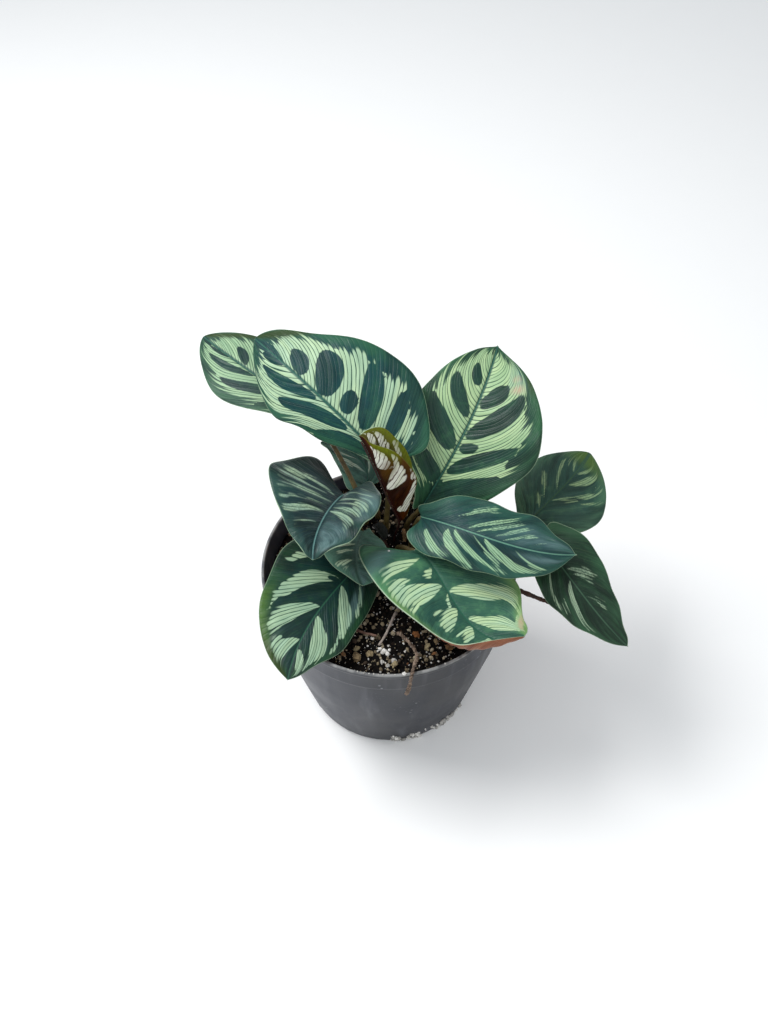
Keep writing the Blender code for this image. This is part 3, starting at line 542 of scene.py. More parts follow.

# Each leaf as the imported model has it: its midrib, the two halves' widths and how steeply they rise, at the midrib
# and at the edge near base and tip, its lobes, foot and wave. Curl is how late the halves turn, point how far the
# tip is drawn in, rib how thick the stalk is and upward where the blade faces. Veins are how far its side veins
# sweep forward, left then right, evenly and more towards the edge. Lines counts the fine veins, and sparse is the
# share of them that the left half has. Dashes is how broken its pale marks are, left and right. The marks are in
# percent: ground is how far pale reaches to the left, right, base and tip, and any other mark is strokes through
# three places, each across (-100 left edge, 100 right) and along, then half the stroke's width. Pale is drawn, dark
# is cut out of it, and the others tint the blade. The warm tints are the leaf's own colour, except mid_left's
# near-black one, which is painted shade, and the bluish-grey sheen strokes are a painted sheen.
leaves = {
    "far_left": dict(
        spine=((-32, 56, 133), (-49, 68, 141), (-69, 84, 145), (-91, 106, 145)), left=(5, 10, 17, 20, 11),
        right=(8, 14, 20.5, 21, 12), riseLeft=(-5, -20, -20), riseRight=(10, 0, -10), lobes=(0.15, 0.15),
        foot=(-11, 30), wave=(0.7, 2.5, 0.5), veins=((0.4, 0.2), (0.35, 0.0)), lines=40, sparse=0.55,
        ground=(70, 68, 8, 93), warmAndShade=((20, 103, 75, 92, 120, 60, 9),),
        dark=((-3, 80, -10, 85, -24, 92, 5), (-5, 60, -25, 74, -50, 88, 7.5), (-8, 38, -40, 53, -66, 70, 10),
            (-20, 18, -60, 30, -100, 50, 10), (4, 68, 24, 73, 42, 78, 4.5), (4, 50, 30, 57, 60, 66, 6),
            (5, 30, 40, 38, 70, 50, 6.5), (10, 12, 50, 20, 90, 34, 6))),
    "top_left": dict(
        spine=((-1, 25.5, 139), (-18, 36.5, 155), (-38, 53.5, 165), (-61, 79.5, 167)), left=(5, 12.5, 17.5, 22, 15),
        right=(24, 36, 37, 26.5, 13.5), riseLeft=(-40, -65, -60), riseRight=(25, 15, 10), lobes=(0.05, 0.15),
        foot=(-1, 24), wave=(1.2, 3.0, 2.0), veins=((0.35, 0.3), (0.36, 0.0)), lines=42, sparse=0.5,
        ground=(82, 77, 10, 91), warmAndShade=((20, 103, 75, 94, 120, 78, 8),),
        dark=((3, 71.5, 24, 74.5, 46, 78.5, 5.8), (2, 54.5, 33, 59.5, 66, 67, 7.5),
            (5, 39.5, 18, 41.2, 33, 43.5, 4.7), (7, 26, 42, 36, 78, 48, 7), (28, 15, 55, 21, 86, 31, 5),
            (2, 84, 10, 90, 30, 99, 6), (60, 2, 80, 6, 110, 20, 8), (-1, 82, -10, 87, -26, 92.5, 5.5),
            (-6, 58, -26, 72, -50, 87, 10), (-8, 36, -42, 51, -68, 69, 13.5), (-20, 18, -65, 26, -110, 42, 15),
            (30, 100, 70, 94, 120, 82, 5))),
    "top_right": dict(
        spine=((16, 22, 112), (30, 33, 136), (42, 49, 155), (52, 76, 164)), left=(6, 19.5, 27, 23, 11),
        right=(12.5, 27.5, 36, 31.5, 18.5), riseLeft=(25, 15, 10), riseRight=(5, -8, -8), lobes=(0.1, 0.18),
        foot=(9, 25), wave=(1.0, 3.5, 1.0), veins=((0.14, 0.22), (0.13, 0.4)), lines=42, point=0.4,
        ground=(80, 76, 18, 94), warmAndShade=((86, 84, 95, 87, 110, 90, 3.5),), paintedSheen=((45, 83, 62, 86, 85, 90, 6),),
        dark=((-10, 76, -30, 79, -50, 83.5, 4.2), (-6, 57, -40, 65.5, -74, 74, 5.2),
            (-4, 39, -45, 47.5, -100, 62, 7.5), (-18, 43, -27, 44.8, -37, 46.5, 2.2),
            (-2, 19, -50, 25, -110, 42, 7), (-60, 30, -80, 36, -120, 50, 8), (3, 66, 20, 71.5, 45, 79, 5.8),
            (3, 48, 32, 60, 74, 79, 7.5), (4, 39.5, 15, 40.5, 28, 43, 3.2), (5, 26, 36, 36, 74, 52, 6.6),
            (6, 12, 60, 22, 105, 42, 9.5), (70, 42, 85, 55, 105, 70, 5)),
        tan=((45, 78.5, 60, 81, 78, 83.5, 2.2), (50, 84, 62, 86, 78, 88, 1.4))),
    "back_right": dict(
        spine=((65, 17, 102), (76, 25, 110), (88, 36, 115), (99, 51, 116)), left=(5, 17.5, 23, 21, 11),
        right=(8, 19, 24, 21, 12.5), riseLeft=(0, -20, -20), riseRight=(-10, -20, -30), lobes=(0.15, 0.15),
        foot=(15, 26), wave=(0.6, 2.5, 0.0), veins=((0.65, -0.1), (0.6, 0.0)), lines=30, dashes=(0.3, 0.3),
        warmAndShade=((-100, 96, 0, 96, 100, 96, 12),),
        pale=((-6, 50, -25, 62, -50, 78, 2.2), (-8, 25, -17, 30, -27, 35, 1.6), (-15, 36, -30, 46, -52, 58, 1.6),
            (-5, 74, -15, 79, -38, 89, 1.6), (3, 38, 15, 45, 38, 53.5, 2), (4, 60, 28, 72, 64, 88.5, 4.5),
            (30, 55, 50, 64, 84, 77.5, 1.8), (45, 52, 65, 60, 88, 71, 1.4), (5, 74, 25, 83, 45, 93, 2.2),
            (20, 50, 45, 59, 70, 69, 1))),
    "low_right": dict(
        spine=((71, 4, 109), (81, -15, 108), (93, -32, 102), (107, -43, 91)), left=(13, 19, 16, 11, 4.5),
        right=(8, 14, 14, 10.5, 5), riseLeft=(10, 0, -5), riseRight=(-30, -40, -40), lobes=(0.15, 0.15),
        foot=(16, 20), wave=(0.8, 4.0, 0.5), veins=((0.35, 0.0), (0.6, -0.05)), lines=32, dashes=(0.55, 0.25),
        point=0.3,
        pale=((5, 38, 35, 50, 72, 69, 3.6), (38, 23, 62, 33, 84, 47, 1.8), (-6, 30, -30, 37, -58, 47, 2.2),
            (-12, 36, -25, 40, -45, 47, 1.6), (30, 52, 50, 62, 78, 74, 1), (50, 44, 60, 49, 74, 55, 1),
            (-5, 53, -20, 58, -36, 64, 0.6))),
    "front": dict(
        spine=((12, -1, 109), (24, -19, 109), (37, -39, 103), (58, -48, 109)), left=(12, 22, 30, 29, 13),
        right=(23.5, 30.5, 27, 22, 15), riseLeft=(5, 2, -5), riseRight=(12, 10, 125), lobes=(0.1, 0.39),
        foot=(4, 11), wave=(0.6, 2.5, 0.0), curl=3, veins=((0.2, 0.32), (-0.15, 0.22)), lines=44,
        dark=((-12, 80, -20, 86, -28, 94, 3),), tan=((-60, 95, -80, 90, -110, 86, 4),),
        paintedSheen=((50, 5, 75, 12, 100, 20, 3.5),),
        pale=((-2, 41, -40, 53, -92, 74, 6), (-2, 61, -22, 74, -75, 95, 6.6), (-50, 93, -75, 89, -100, 84, 4.5),
            (4, 35, 40, 33.5, 90, 35, 5.5), (60, 40, 74, 40, 90, 42, 1.8), (3, 41, 8, 44, 14, 48, 1.8),
            (4, 22, 10, 23.5, 19, 26.5, 1.8), (3, 52, 20, 53, 54, 56, 4.2), (10, 11.5, 50, 15.5, 86, 20, 3),
            (45, 24, 65, 24.5, 88, 26, 1.6), (3, 66, 15, 68, 46, 71, 3.6), (4, 80, 14, 82, 30, 84, 2)),
        lime=((-30, 75, -80, 82, -140, 90, 30), (50, 38, 90, 46, 140, 58, 16))),
    "front_right": dict(
        spine=((15, 9, 121), (36, -6, 129), (59, -14, 127), (84, -12, 119)), left=(8, 17.5, 17, 16.5, 7),
        right=(14, 15.5, 15.5, 13.5, 8.5), riseLeft=(15, 5, 0), riseRight=(-30, -40, -40), lobes=(0.1, 0.2),
        foot=(11, 14), wave=(0.9, 4.0, 1.0), veins=((0.35, 0.05), (0.34, 0.04)), lines=38, dashes=(0.75, 0.1),
        point=0.5,
        pale=((4, 43, 45, 58, 88, 79, 5.6), (10, 20, 50, 25, 88, 41, 3.6), (6, 24, 45, 35, 88, 59, 3.6),
            (38, 8, 62, 14, 90, 26, 3.2), (-4, 31, -38, 44, -78, 60, 2.4), (-5, 37, -28, 47, -64, 61, 1.8),
            (-35, 25, -50, 33, -74, 42, 1.4), (-10, 49, -25, 55, -50, 65, 1.2), (-4, 53, -18, 60, -42, 69, 1.4),
            (-40, 30, -60, 38, -80, 46, 1), (-10, 70, -30, 77, -50, 83, 0.8), (12, 63, 40, 72, 70, 82, 1),
            (5, 36, 30, 44, 60, 56, 0.6)),
        paintedSheen=((-10, 62, -40, 75, -70, 85, 20), (20, 75, 30, 82, 50, 90, 10))),
    "small": dict(
        spine=((-12, 17, 100), (-15, 4, 105.5), (-15, -9, 108), (-12, -20, 108)), left=(5, 12, 15, 13.5, 8),
        right=(11, 16.5, 15, 10, 3.5), riseLeft=(10, 0, -10), riseRight=(12, 4, -5), lobes=(0.1, 0.15),
        foot=(-7, 18), wave=(0.4, 2.5, 0.0), veins=((0.2, 0.0), (0.2, 0.0)), lines=30, dashes=(0.3, 0.3), point=0.3,
        paintedSheen=((-50, 85, 0, 90, 50, 90, 20),),
        pale=((4, 30, 25, 33, 50, 37, 3), (5, 42, 25, 43, 50, 45, 1.8), (10, 58, 45, 63, 88, 69, 3.4),
            (-10, 56, -40, 62, -80, 70, 2), (30, 68, 50, 71, 70, 74, 1.2))),
    "low_left": dict(
        spine=((-14, 1, 96), (-24, -18, 103), (-36, -40, 106), (-44, -64, 102)), left=(12, 17.5, 19, 18, 8),
        right=(24, 31, 28, 23, 12.5), riseLeft=(-15, -30, -30), riseRight=(20, 10, 0), lobes=(0.15, 0.15),
        foot=(-5, 8), wave=(0.6, 3.0, 1.5), veins=((0.42, -0.04), (0.5, -0.2)), lines=36, point=0.2,
        dark=((2, 27, 10, 28, 22, 29.5, 2),), warmAndShade=((30, 100, 80, 94, 120, 80, 8),),
        lime=((60, 62, 90, 76, 130, 86, 20),), paintedSheen=((-40, 20, -60, 35, -80, 50, 10),),
        pale=((-3, 29, -40, 43, -84, 60, 6), (-50, 50, -68, 60, -86, 72, 2.2), (-3, 58, -28, 69, -82, 85, 6.6),
            (-3, 82, -25, 87, -75, 95.5, 4), (-40, 20, -60, 30, -82, 42, 2.2), (4, 26, 42, 38.5, 78, 57, 7),
            (2, 51, 33, 62.5, 80, 76.5, 6), (3, 76, 30, 83.5, 72, 89.5, 4.5), (62, 53, 74, 61, 84, 70, 2.2),
            (56, 22, 70, 28, 82, 36, 2.6))),
    "under_left": dict(
        spine=((-11, 42, 103), (-11, 50, 109), (-19, 58, 112), (-33, 63, 113)), left=(8, 14, 12.5, 8.5, 3),
        right=(9, 9, 9, 10, 6), riseLeft=(0, -10, -20), riseRight=(0, -10, -20), lobes=(0.15, 0.15), foot=(-5, 34),
        wave=(0.4, 2.0, 0.0), veins=((0.6, 0.0), (0.4, 0.0)), lines=24,
        pale=((-10, 28, -35, 48, -60, 68, 4), (-10, 50, -30, 65, -50, 80, 3), (5, 20, 40, 40, 80, 60, 5),
            (10, 55, 40, 70, 80, 85, 4))),
    # mid_left's near-black tint on the lobe at the base of its right half is painted shade, and its bluish-grey
    # strokes are painted sheen
    "mid_left": dict(
        spine=((-21, 27, 116), (-28, 8, 126), (-32, -10, 132), (-33, -21, 130)), left=(14.5, 23.5, 21, 16, 5),
        right=(22.5, 33, 23.5, 14, 4.5), riseLeft=(20, 5, 0), riseRight=(32, 20, 0), lobes=(0.35, 0.39),
        foot=(-13, 21), wave=(1.2, 3.5, 0.5), veins=((0.13, 0.2), (0.36, -0.15)), lines=34, dashes=(0.2, 0.35),
        point=0.4, warmAndShade=((15, -2, 60, 0, 110, 10, 12),),
        pale=((-6, 32, -38, 41.5, -74, 55, 3.4), (-8, 27, -38, 33.5, -72, 43, 2.2),
            (-12, 15, -45, 20.5, -80, 31, 1.2), (-20, 8, -50, 10, -80, 20, 0.8), (10, 10, 45, 15, 80, 23, 1),
            (20, 16, 45, 22, 84, 31, 1), (3, 19, 40, 28, 88, 41, 2), (40, 37, 62, 41, 84, 45, 1),
            (4, 35, 40, 45, 86, 57.5, 3), (10, 51, 35, 57, 70, 66, 1), (6, 26, 30, 33, 50, 38, 0.8),
            (50, 12, 65, 17, 80, 24, 0.8), (-10, 21, -40, 26, -75, 36, 1)),
        paintedSheen=((-10, 60, -40, 70, -80, 75, 18), (-60, 20, -75, 30, -100, 40, 15))),
    "young": dict(
        spine=((6, 12, 114.5), (0, 12, 133.5), (-6, 14, 152.5), (-12, 18, 166.5)), left=(6.5, 14.5, 14, 9.7, 2),
        right=(6, 17, 19, 16, 10.5), riseLeft=(75, 100, 95), riseRight=(60, 80, 70), lobes=(0.0, 0.0), foot=(3, 18),
        wave=(0.0, 2.0, 0.0), upward=(0.72, 0.5, 0.48), veins=((0.15, 0.0), (0.15, 0.0)), lines=22, rib=0.42,
        pale=((-4, 64, -30, 68, -60, 71, 10), (-2, 40, -40, 45, -80, 52, 7), (-50, 50, -68, 57, -86, 65, 5),
            (-30, 13, -70, 17, -100, 26, 7.5), (-80, 36, -90, 39, -98, 42, 2.6), (-5, 15, -30, 14, -60, 15, 3),
            (15, 82, 40, 87, 58, 94, 7.5), (40, 70, 60, 78, 76, 86, 7.5), (55, 64, 68, 70, 78, 78, 3),
            (66, 50, 80, 56, 90, 64, 6)),
        lime=((-40, 60, -70, 72, -140, 74, 16), (10, 70, 90, 70, 130, 70, 45)),
        warmAndShade=((-5, 54, -35, 56, -70, 60, 7), (-80, 50, -100, 50, -120, 50, 12))),
    "withered": dict(
        spine=((-2, 14, 97), (-3.5, 16.5, 99.5), (-5.5, 19, 100), (-7, 21.5, 98)), left=(1.5, 2.5, 2.5, 2, 1),
        right=(2, 3.5, 3.5, 3, 1.5), riseLeft=(30, 60, 60), riseRight=(20, 50, 50), lobes=(0.0, 0.0), foot=(-1, 13),
        wave=(0.3, 2.0, 0.0), veins=((0.3, 0.0), (0.3, 0.0)), lines=8),
}


def outline(along):  # the round base and pointed tip that all blades share
    along = np.clip(along, 0, 1)
    return along ** blade["baseRound"] * (1 - along) ** blade["tipRound"]


def halfWidth(widths, along, point):  # a smooth curve through the five stations, drawn in at a pointed tip
    shares = np.array([width / outline(station) for width, station in zip(widths, blade["stations"])])
    shares = np.array([shares[0], *shares, shares[-1]])
    place = np.clip((along - blade["stations"][0]) / blade["stationGap"], 0, 4)
    index = np.minimum(place.astype(int), 3)
    step = place - index
    share = curved(*(shares[index + offset] for offset in range(4)), step)
    rest = np.clip(1 - along, 1e-9, 1)
    return share * outline(along) * rest ** (point * np.exp(-rest / blade["pointReach"]))


def spinePoint(leaf, along):  # the cubic through the four midrib points
    point = np.zeros((len(along), 3))
    for index, corner in enumerate(leaf["spine"]):
        weight = np.ones(len(along))
        for other in set(range(4)) - {index}:
            weight *= (along * 3 - other) / (index - other)
        point += weight[:, None] * np.array(corner, float)
    return point


def spineFrame(leaf, along):
    chord = np.array(leaf["spine"][3], float) - leaf["spine"][0]
    across = unit(np.cross(chord, leaf.get("upward", (0, 0, 1))))
    tangent = unit(spinePoint(leaf, along + 0.001) - spinePoint(leaf, along - 0.001))
    return chord, across, tangent, unit(np.cross(across, tangent))


def bladePlaces(leaf, along, aside):  # points in millimetres, with the side veins' course and the width there
    def pick(pair):
        return np.where(aside > 0, pair[1], pair[0])

    reach, side = abs(aside), pick((-1.0, 1.0))
    chord, across, tangent, upward = spineFrame(leaf, along)
    base = (1 - along) ** blade["lobeFall"] * (1 - np.exp(-along / blade["lobeReach"]))
    backward = pick(leaf["lobes"]) * base * reach ** blade["lobeSpread"]
    points = spinePoint(leaf, along) - backward[:, None] * chord
    point = leaf.get("point", 0.0)
    half = pick((halfWidth(leaf["left"], along, point), halfWidth(leaf["right"], along, point)))
    inner, edgeBase, edgeTip = (pick(pair) for pair in zip(leaf["riseLeft"], leaf["riseRight"]))
    edge = edgeBase + (edgeTip - edgeBase) * along
    curl = leaf.get("curl", 1)
    for step in range(blade["steps"]):
        angle = np.radians(inner + (edge - inner) * (reach * (step + 0.5) / blade["steps"]) ** curl)
        length = half * reach / blade["steps"]
        points += across * (side * np.cos(angle) * length)[:, None] + upward * (np.sin(angle) * length)[:, None]
    height, count, phase = leaf["wave"]
    swell = 2 * np.sqrt(np.clip(along * (1 - along), 0, 1)) * reach ** 2
    wave = height * swell * np.sin(math.tau * count * along + phase + pick((blade["leftPhase"], 0)))
    points += upward * wave[:, None]
    # pleats along the side veins, and a groove over the midrib
    sweep, more = (pick(pair) for pair in zip(*leaf["veins"]))
    vein = along - sweep * reach - more * reach ** 2
    steep = np.radians(inner + (edge - inner) * reach ** curl)
    normal = upward * np.cos(steep)[:, None] - across * (side * np.sin(steep))[:, None]
    fades = [np.clip(width / blade["fadeWidth"], 0, 1) for width in (half * reach, half * (1 - reach), half)]
    turn = blade["wander"] * np.sin(math.tau * blade["wanders"] * along)
    ripple = np.sin(math.tau * leaf["lines"] / blade["pleatLines"] * vein + turn)
    pleat = blade["pleatDepth"] * ripple * fades[0] * fades[1] * min(1, half.max() / blade["fullWidth"])
    groove = blade["midribDepth"] * np.exp(-(half * reach / blade["midribWidth"]) ** 2) * fades[2]
    points += normal * (pleat - groove)[:, None]
    return points, vein, half


def strokeDepth(stroke, along, aside, length, half, pointed):
    # how deep in a stroke a place lies, in millimetres, and how near it is to the outer end
    stroke = np.array(stroke) / 100
    asides, alongs, width = stroke[0:6:2], stroke[1:6:2], stroke[6]
    across = aside / asides[2]
    share = np.interp(across, asides / asides[2], (0, 0.5, 1))
    beyond = (across - np.clip(across, asides[0] / asides[2], 1)) * abs(asides[2]) * half
    middle = (alongs[0] * (1 - share) * (1 - 2 * share) + alongs[1] * 4 * share * (1 - share)
              + alongs[2] * share * (2 * share - 1))
    if pointed:  # a streak runs from a point at its inner end to a broad outer end
        thick, swells, narrows = blade["streak"]
        wide = width * thick * share ** swells * (1 - share) ** narrows
        depth = (wide - abs(along - middle)) * length
    else:
        oval = abs(2 * share - 1) ** blade["roundness"] + (abs(along - middle) / width) ** blade["roundness"]
        depth = (1 - oval ** (1 / blade["roundness"])) * min(width * length, abs(asides[2] - asides[0]) * half / 2)
    start, reach = blade["ends"]
    return depth - abs(beyond), np.clip((share - start) / reach, 0, 1)


def withStrokes(strokes, along, aside, length, half, depth, ends, cut=False, pointed=False):
    for stroke in strokes:  # adds strokes to a marking, or cuts them out
        more, tips = strokeDepth(stroke, along, aside, length, half, pointed)
        taken = -more < depth if cut else more > depth
        depth = np.where(taken, -more if cut else more, depth)
        ends = np.where(taken, 0 if cut else tips, ends)
    return depth, ends


def markings(leaf, along, aside, half):  # how far inside each kind of mark, in millimetres
    length = math.dist(leaf["spine"][0], leaf["spine"][3])
    span = max(half.max(), 1)
    away = np.full(len(along), blade["outside"])
    pale, ends = away, np.zeros(len(along))
    if "ground" in leaf:
        left, right, low, high = np.array(leaf["ground"]) / 100
        outward = np.minimum((np.where(aside > 0, right, left) - abs(aside)) * half, (high - along) * length)
        pale = np.minimum(outward, (along - low) * length)
        ends = np.ones(len(along))
    place = (along, aside, length, span)
    pale, ends = withStrokes(leaf.get("pale", ()), *place, pale, ends, pointed=True)
    pale, ends = withStrokes(leaf.get("dark", ()), *place, pale, ends, cut=True)
    rib = abs(aside) * half - blade["bare"]
    ends = np.where(rib < pale, 0, ends)
    pale = np.minimum(pale, rib)
    # the last kind is a painted sheen
    tones = [withStrokes(leaf.get(kind, ()), *place, away, ends)[0]
             for kind in ("warmAndShade", "lime", "tan", "paintedSheen")]
    return pale, ends, tones


def buildBlade(name, leaf, finishes, slotName):
    work = bmesh.new()
    bmesh.ops.create_grid(work, x_segments=blade["columns"], y_segments=blade["rows"], size=1)
    grid = np.array([vert.co for vert in work.verts])
    along = (1 - np.cos(math.pi * (grid[:, 1] + 1) / 2)) / 2
    aside = np.sign(grid[:, 0]) * abs(grid[:, 0]) ** blade["crowding"]
    points, vein, half = bladePlaces(leaf, along, aside)
    pale, ends, tones = markings(leaf, along, aside, half)
    place = work.verts.layers.float_vector.new("leafPlace")
    marks = work.verts.layers.float_vector.new("leafMarks")
    blush = work.verts.layers.float_vector.new("leafTones")
    # where the painted sheen goes
    paintedSheen = work.verts.layers.float.new("leafPaintedSheen")
    for index, vert in enumerate(work.verts):
        vert.co = points[index] * mm
        vert[place] = (vein[index], aside[index], abs(aside[index]) * half[index])
        vert[marks] = (pale[index], (1 - abs(aside[index])) * half[index], ends[index])
        vert[blush] = [tone[index] for tone in tones[:3]]
        vert[paintedSheen] = tones[3][index]
    bmesh.ops.remove_doubles(work, verts=work.verts, dist=0.01 * mm)
    piece = addPiece("leaf_" + name + "_blade", meshFrom(work, name), finishes, slotName, "leaf_" + name)
    thicken = piece.modifiers.new("thickness", "SOLIDIFY")
    thicken.thickness = blade["thickness"] * mm
    thicken.offset = 0
    thicken.material_offset = 1
    thicken.material_offset_rim = 2
    return piece


def stalkRoute(leaf):  # up the stalk from the soil, then along under the blade to near its tip
    surface = Vector((*leaf["foot"], stalk["surface"]))
    _, _, tangent, upward = spineFrame(leaf, np.array([0.0]))
    base = Vector(spinePoint(leaf, np.array([0.0]))[0]) - Vector(upward[0]) * stalk["radius"]
    length = (base - surface).length
    firstPull = surface + Vector((0, 0, stalk["firstPull"] * length))
    lastPull = base - Vector(tangent[0]) * stalk["lastPull"] * length
    thick = leaf.get("rib", 1) * stalk["radius"]
    start, taper = stalk["taper"]
    route = [(Vector((*leaf["foot"], stalk["foot"])), thick * stalk["thickening"])]
    for step in range(stalk["steps"] + 1):
        share = step / stalk["steps"]
        rest = 1 - share
        point = (rest ** 3 * surface + 3 * rest ** 2 * share * firstPull
                 + 3 * rest * share ** 2 * lastPull + share ** 3 * base)
        swell = stalk["joint"] * math.exp(-((share - stalk["jointPlace"]) / stalk["jointLength"]) ** 2)
        route.append((point, thick * (start - taper * share + swell)))
    along = np.linspace(0, stalk["ribEnd"], stalk["ribSteps"] + 1)[1:]
    ribs, ups = spinePoint(leaf, along), spineFrame(leaf, along)[3]
    for index, (point, up) in enumerate(zip(ribs, ups), 1):
        share = index / stalk["ribSteps"]
        radius = stalk["rib"] * thick * (1 - share) + stalk["ribTipRadius"] * share
        route.append((Vector(point - up * (radius * stalk["ribSink"] + blade["midribDepth"])), radius))
    return route


def tubeMesh(name, route, sides=12):  # a round strand along the route, closed at its ends
    curve = bpy.data.curves.new(name, "CURVE")
    curve.dimensions = "3D"
    curve.bevel_depth = mm
    curve.bevel_resolution = sides // 4 - 1
    curve.use_fill_caps = True
    spline = curve.splines.new("POLY")
    spline.points.add(len(route) - 1)
    for point, (place, radius) in zip(spline.points, route):
        point.co = (*(place * mm), 1)
        point.radius = radius
    mesh = baked(placed(name, curve))
    work = bmesh.new()
    work.from_mesh(mesh)
    bpy.data.meshes.remove(mesh)
    bmesh.ops.remove_doubles(work, verts=work.verts, dist=0.001 * mm)
    bmesh.ops.recalc_face_normals(work, faces=work.faces)
    return meshFrom(work, name)


leafColours = dict(
    dark="#173D40", deep="#11282A", margin="#2C5A44", veinDark="#1C4438", pale="#A6C4A4", paleWarm="#B4CEA6",
    # the bluish-grey sheen colour is a painted sheen, where the leaves catch the light
    midrib="#2F5E50", edge="#8FA98A", warmAndShade="#2F3E16", lime="#7FA45C", tan="#B99E86", paintedSheen="#7FA3A3",
    under="#74422F", underPale="#C28C66", strength=1.0, soft=1.0, gloss=0.22)
leafTones = dict(  # each blade's own greens, where they differ; those of mid_left and far_left are darker as painted shade
    top_left=dict(dark="#163F41", deep="#112E30", gloss=0.15),
    top_right=dict(dark="#1C3C34", deep="#122922", margin="#325E40", pale="#9FBE90", paleWarm="#B0CA98"),
    # painted shade: mid_left's greens are darker, and its near-black tint marks the shade on its upper lobe
    mid_left=dict(dark="#1B3236", deep="#0E1C1B", margin="#27463F", pale="#9AB8A0", paleWarm="#A8C2A0",
                  midrib="#5A807C", strength=0.85, soft=2.4, warmAndShade="#0B130E"),
    front_right=dict(dark="#163B3D", deep="#0F282A", margin="#2A5648", pale="#9CC39C", paleWarm="#A8CCA0",
                     midrib="#5C8A76", strength=0.88, soft=1.8),
    front=dict(dark="#325C4C", deep="#1A403A", margin="#558860", midrib="#275A46", veinDark="#2C5C46",
               pale="#B2D0AC", paleWarm="#C0D8A8", strength=0.95, soft=1.3),
    small=dict(dark="#4A6E62", deep="#2A463C", margin="#5A8472", pale="#C8E2C0", paleWarm="#D0E8C2",
               midrib="#4A6C62", strength=0.85, soft=1.6),
    low_right=dict(dark="#162C20", deep="#0C1B15", margin="#2A4C34", pale="#93AC90", paleWarm="#A2B89A",
                   midrib="#35523E", strength=0.9, soft=1.6),
    back_right=dict(dark="#2D4E44", deep="#19302A", margin="#466C52", pale="#98B688", paleWarm="#A6C28C",
                    midrib="#38583F", warmAndShade="#4E6A2A", strength=0.8, soft=2),
    low_left=dict(dark="#153230", deep="#0E211E", margin="#24482E", pale="#94B396", paleWarm="#A0BC9A",
                  midrib="#285440", lime="#4C6E2A"),
    # painted shade: far_left's pale and lime are toned down
    far_left=dict(dark="#213E3A", margin="#3A6048", pale="#94B590", paleWarm="#A2C098", lime="#5F7F5A"),
    under_left=dict(dark="#3E625A", deep="#142724", margin="#5A8474", pale="#C0D8C6", paleWarm="#C8DEC8",
                    strength=0.8, soft=2),
    young=dict(dark="#4A4A0A", deep="#2E2604", margin="#4A3408", veinDark="#3C0E08", pale="#E4E6D0",
               paleWarm="#E8E8DA", midrib="#2C0C08", edge="#7E7A3A", warmAndShade="#523606", lime="#74820E", paintedSheen="#2E0A02"))
youngUnder = dict(dark="#200500", deep="#140200", margin="#4A2206", gloss=0.1)
plainLooks = dict(  # a name, three colours, the grain's scale and depth in metres, a roughness and a stretch
    edge=("leaf edge", ("#8FA88A", "#A9BBA0", "#C2CDB8"), 300, 0.00005, 0.5),
    green=("leaf stalk", ("#54482A", "#6E6238", "#3E2F1C"), 260, 0.0001, 0.4, (1, 1, 0.1)),
    dark=("dark leaf stalk", ("#2E170E", "#432416", "#1A0D08"), 260, 0.0001, 0.45, (1, 1, 0.1)),
    red=("young leaf stalk", ("#2E0C0A", "#240706", "#4A1A14"), 260, 0.0001, 0.45, (1, 1, 0.1)),
    dry=("withered leaf", ("#0E120E", "#1C221C", "#3A4038"), 400, 0.0003, 0.6))


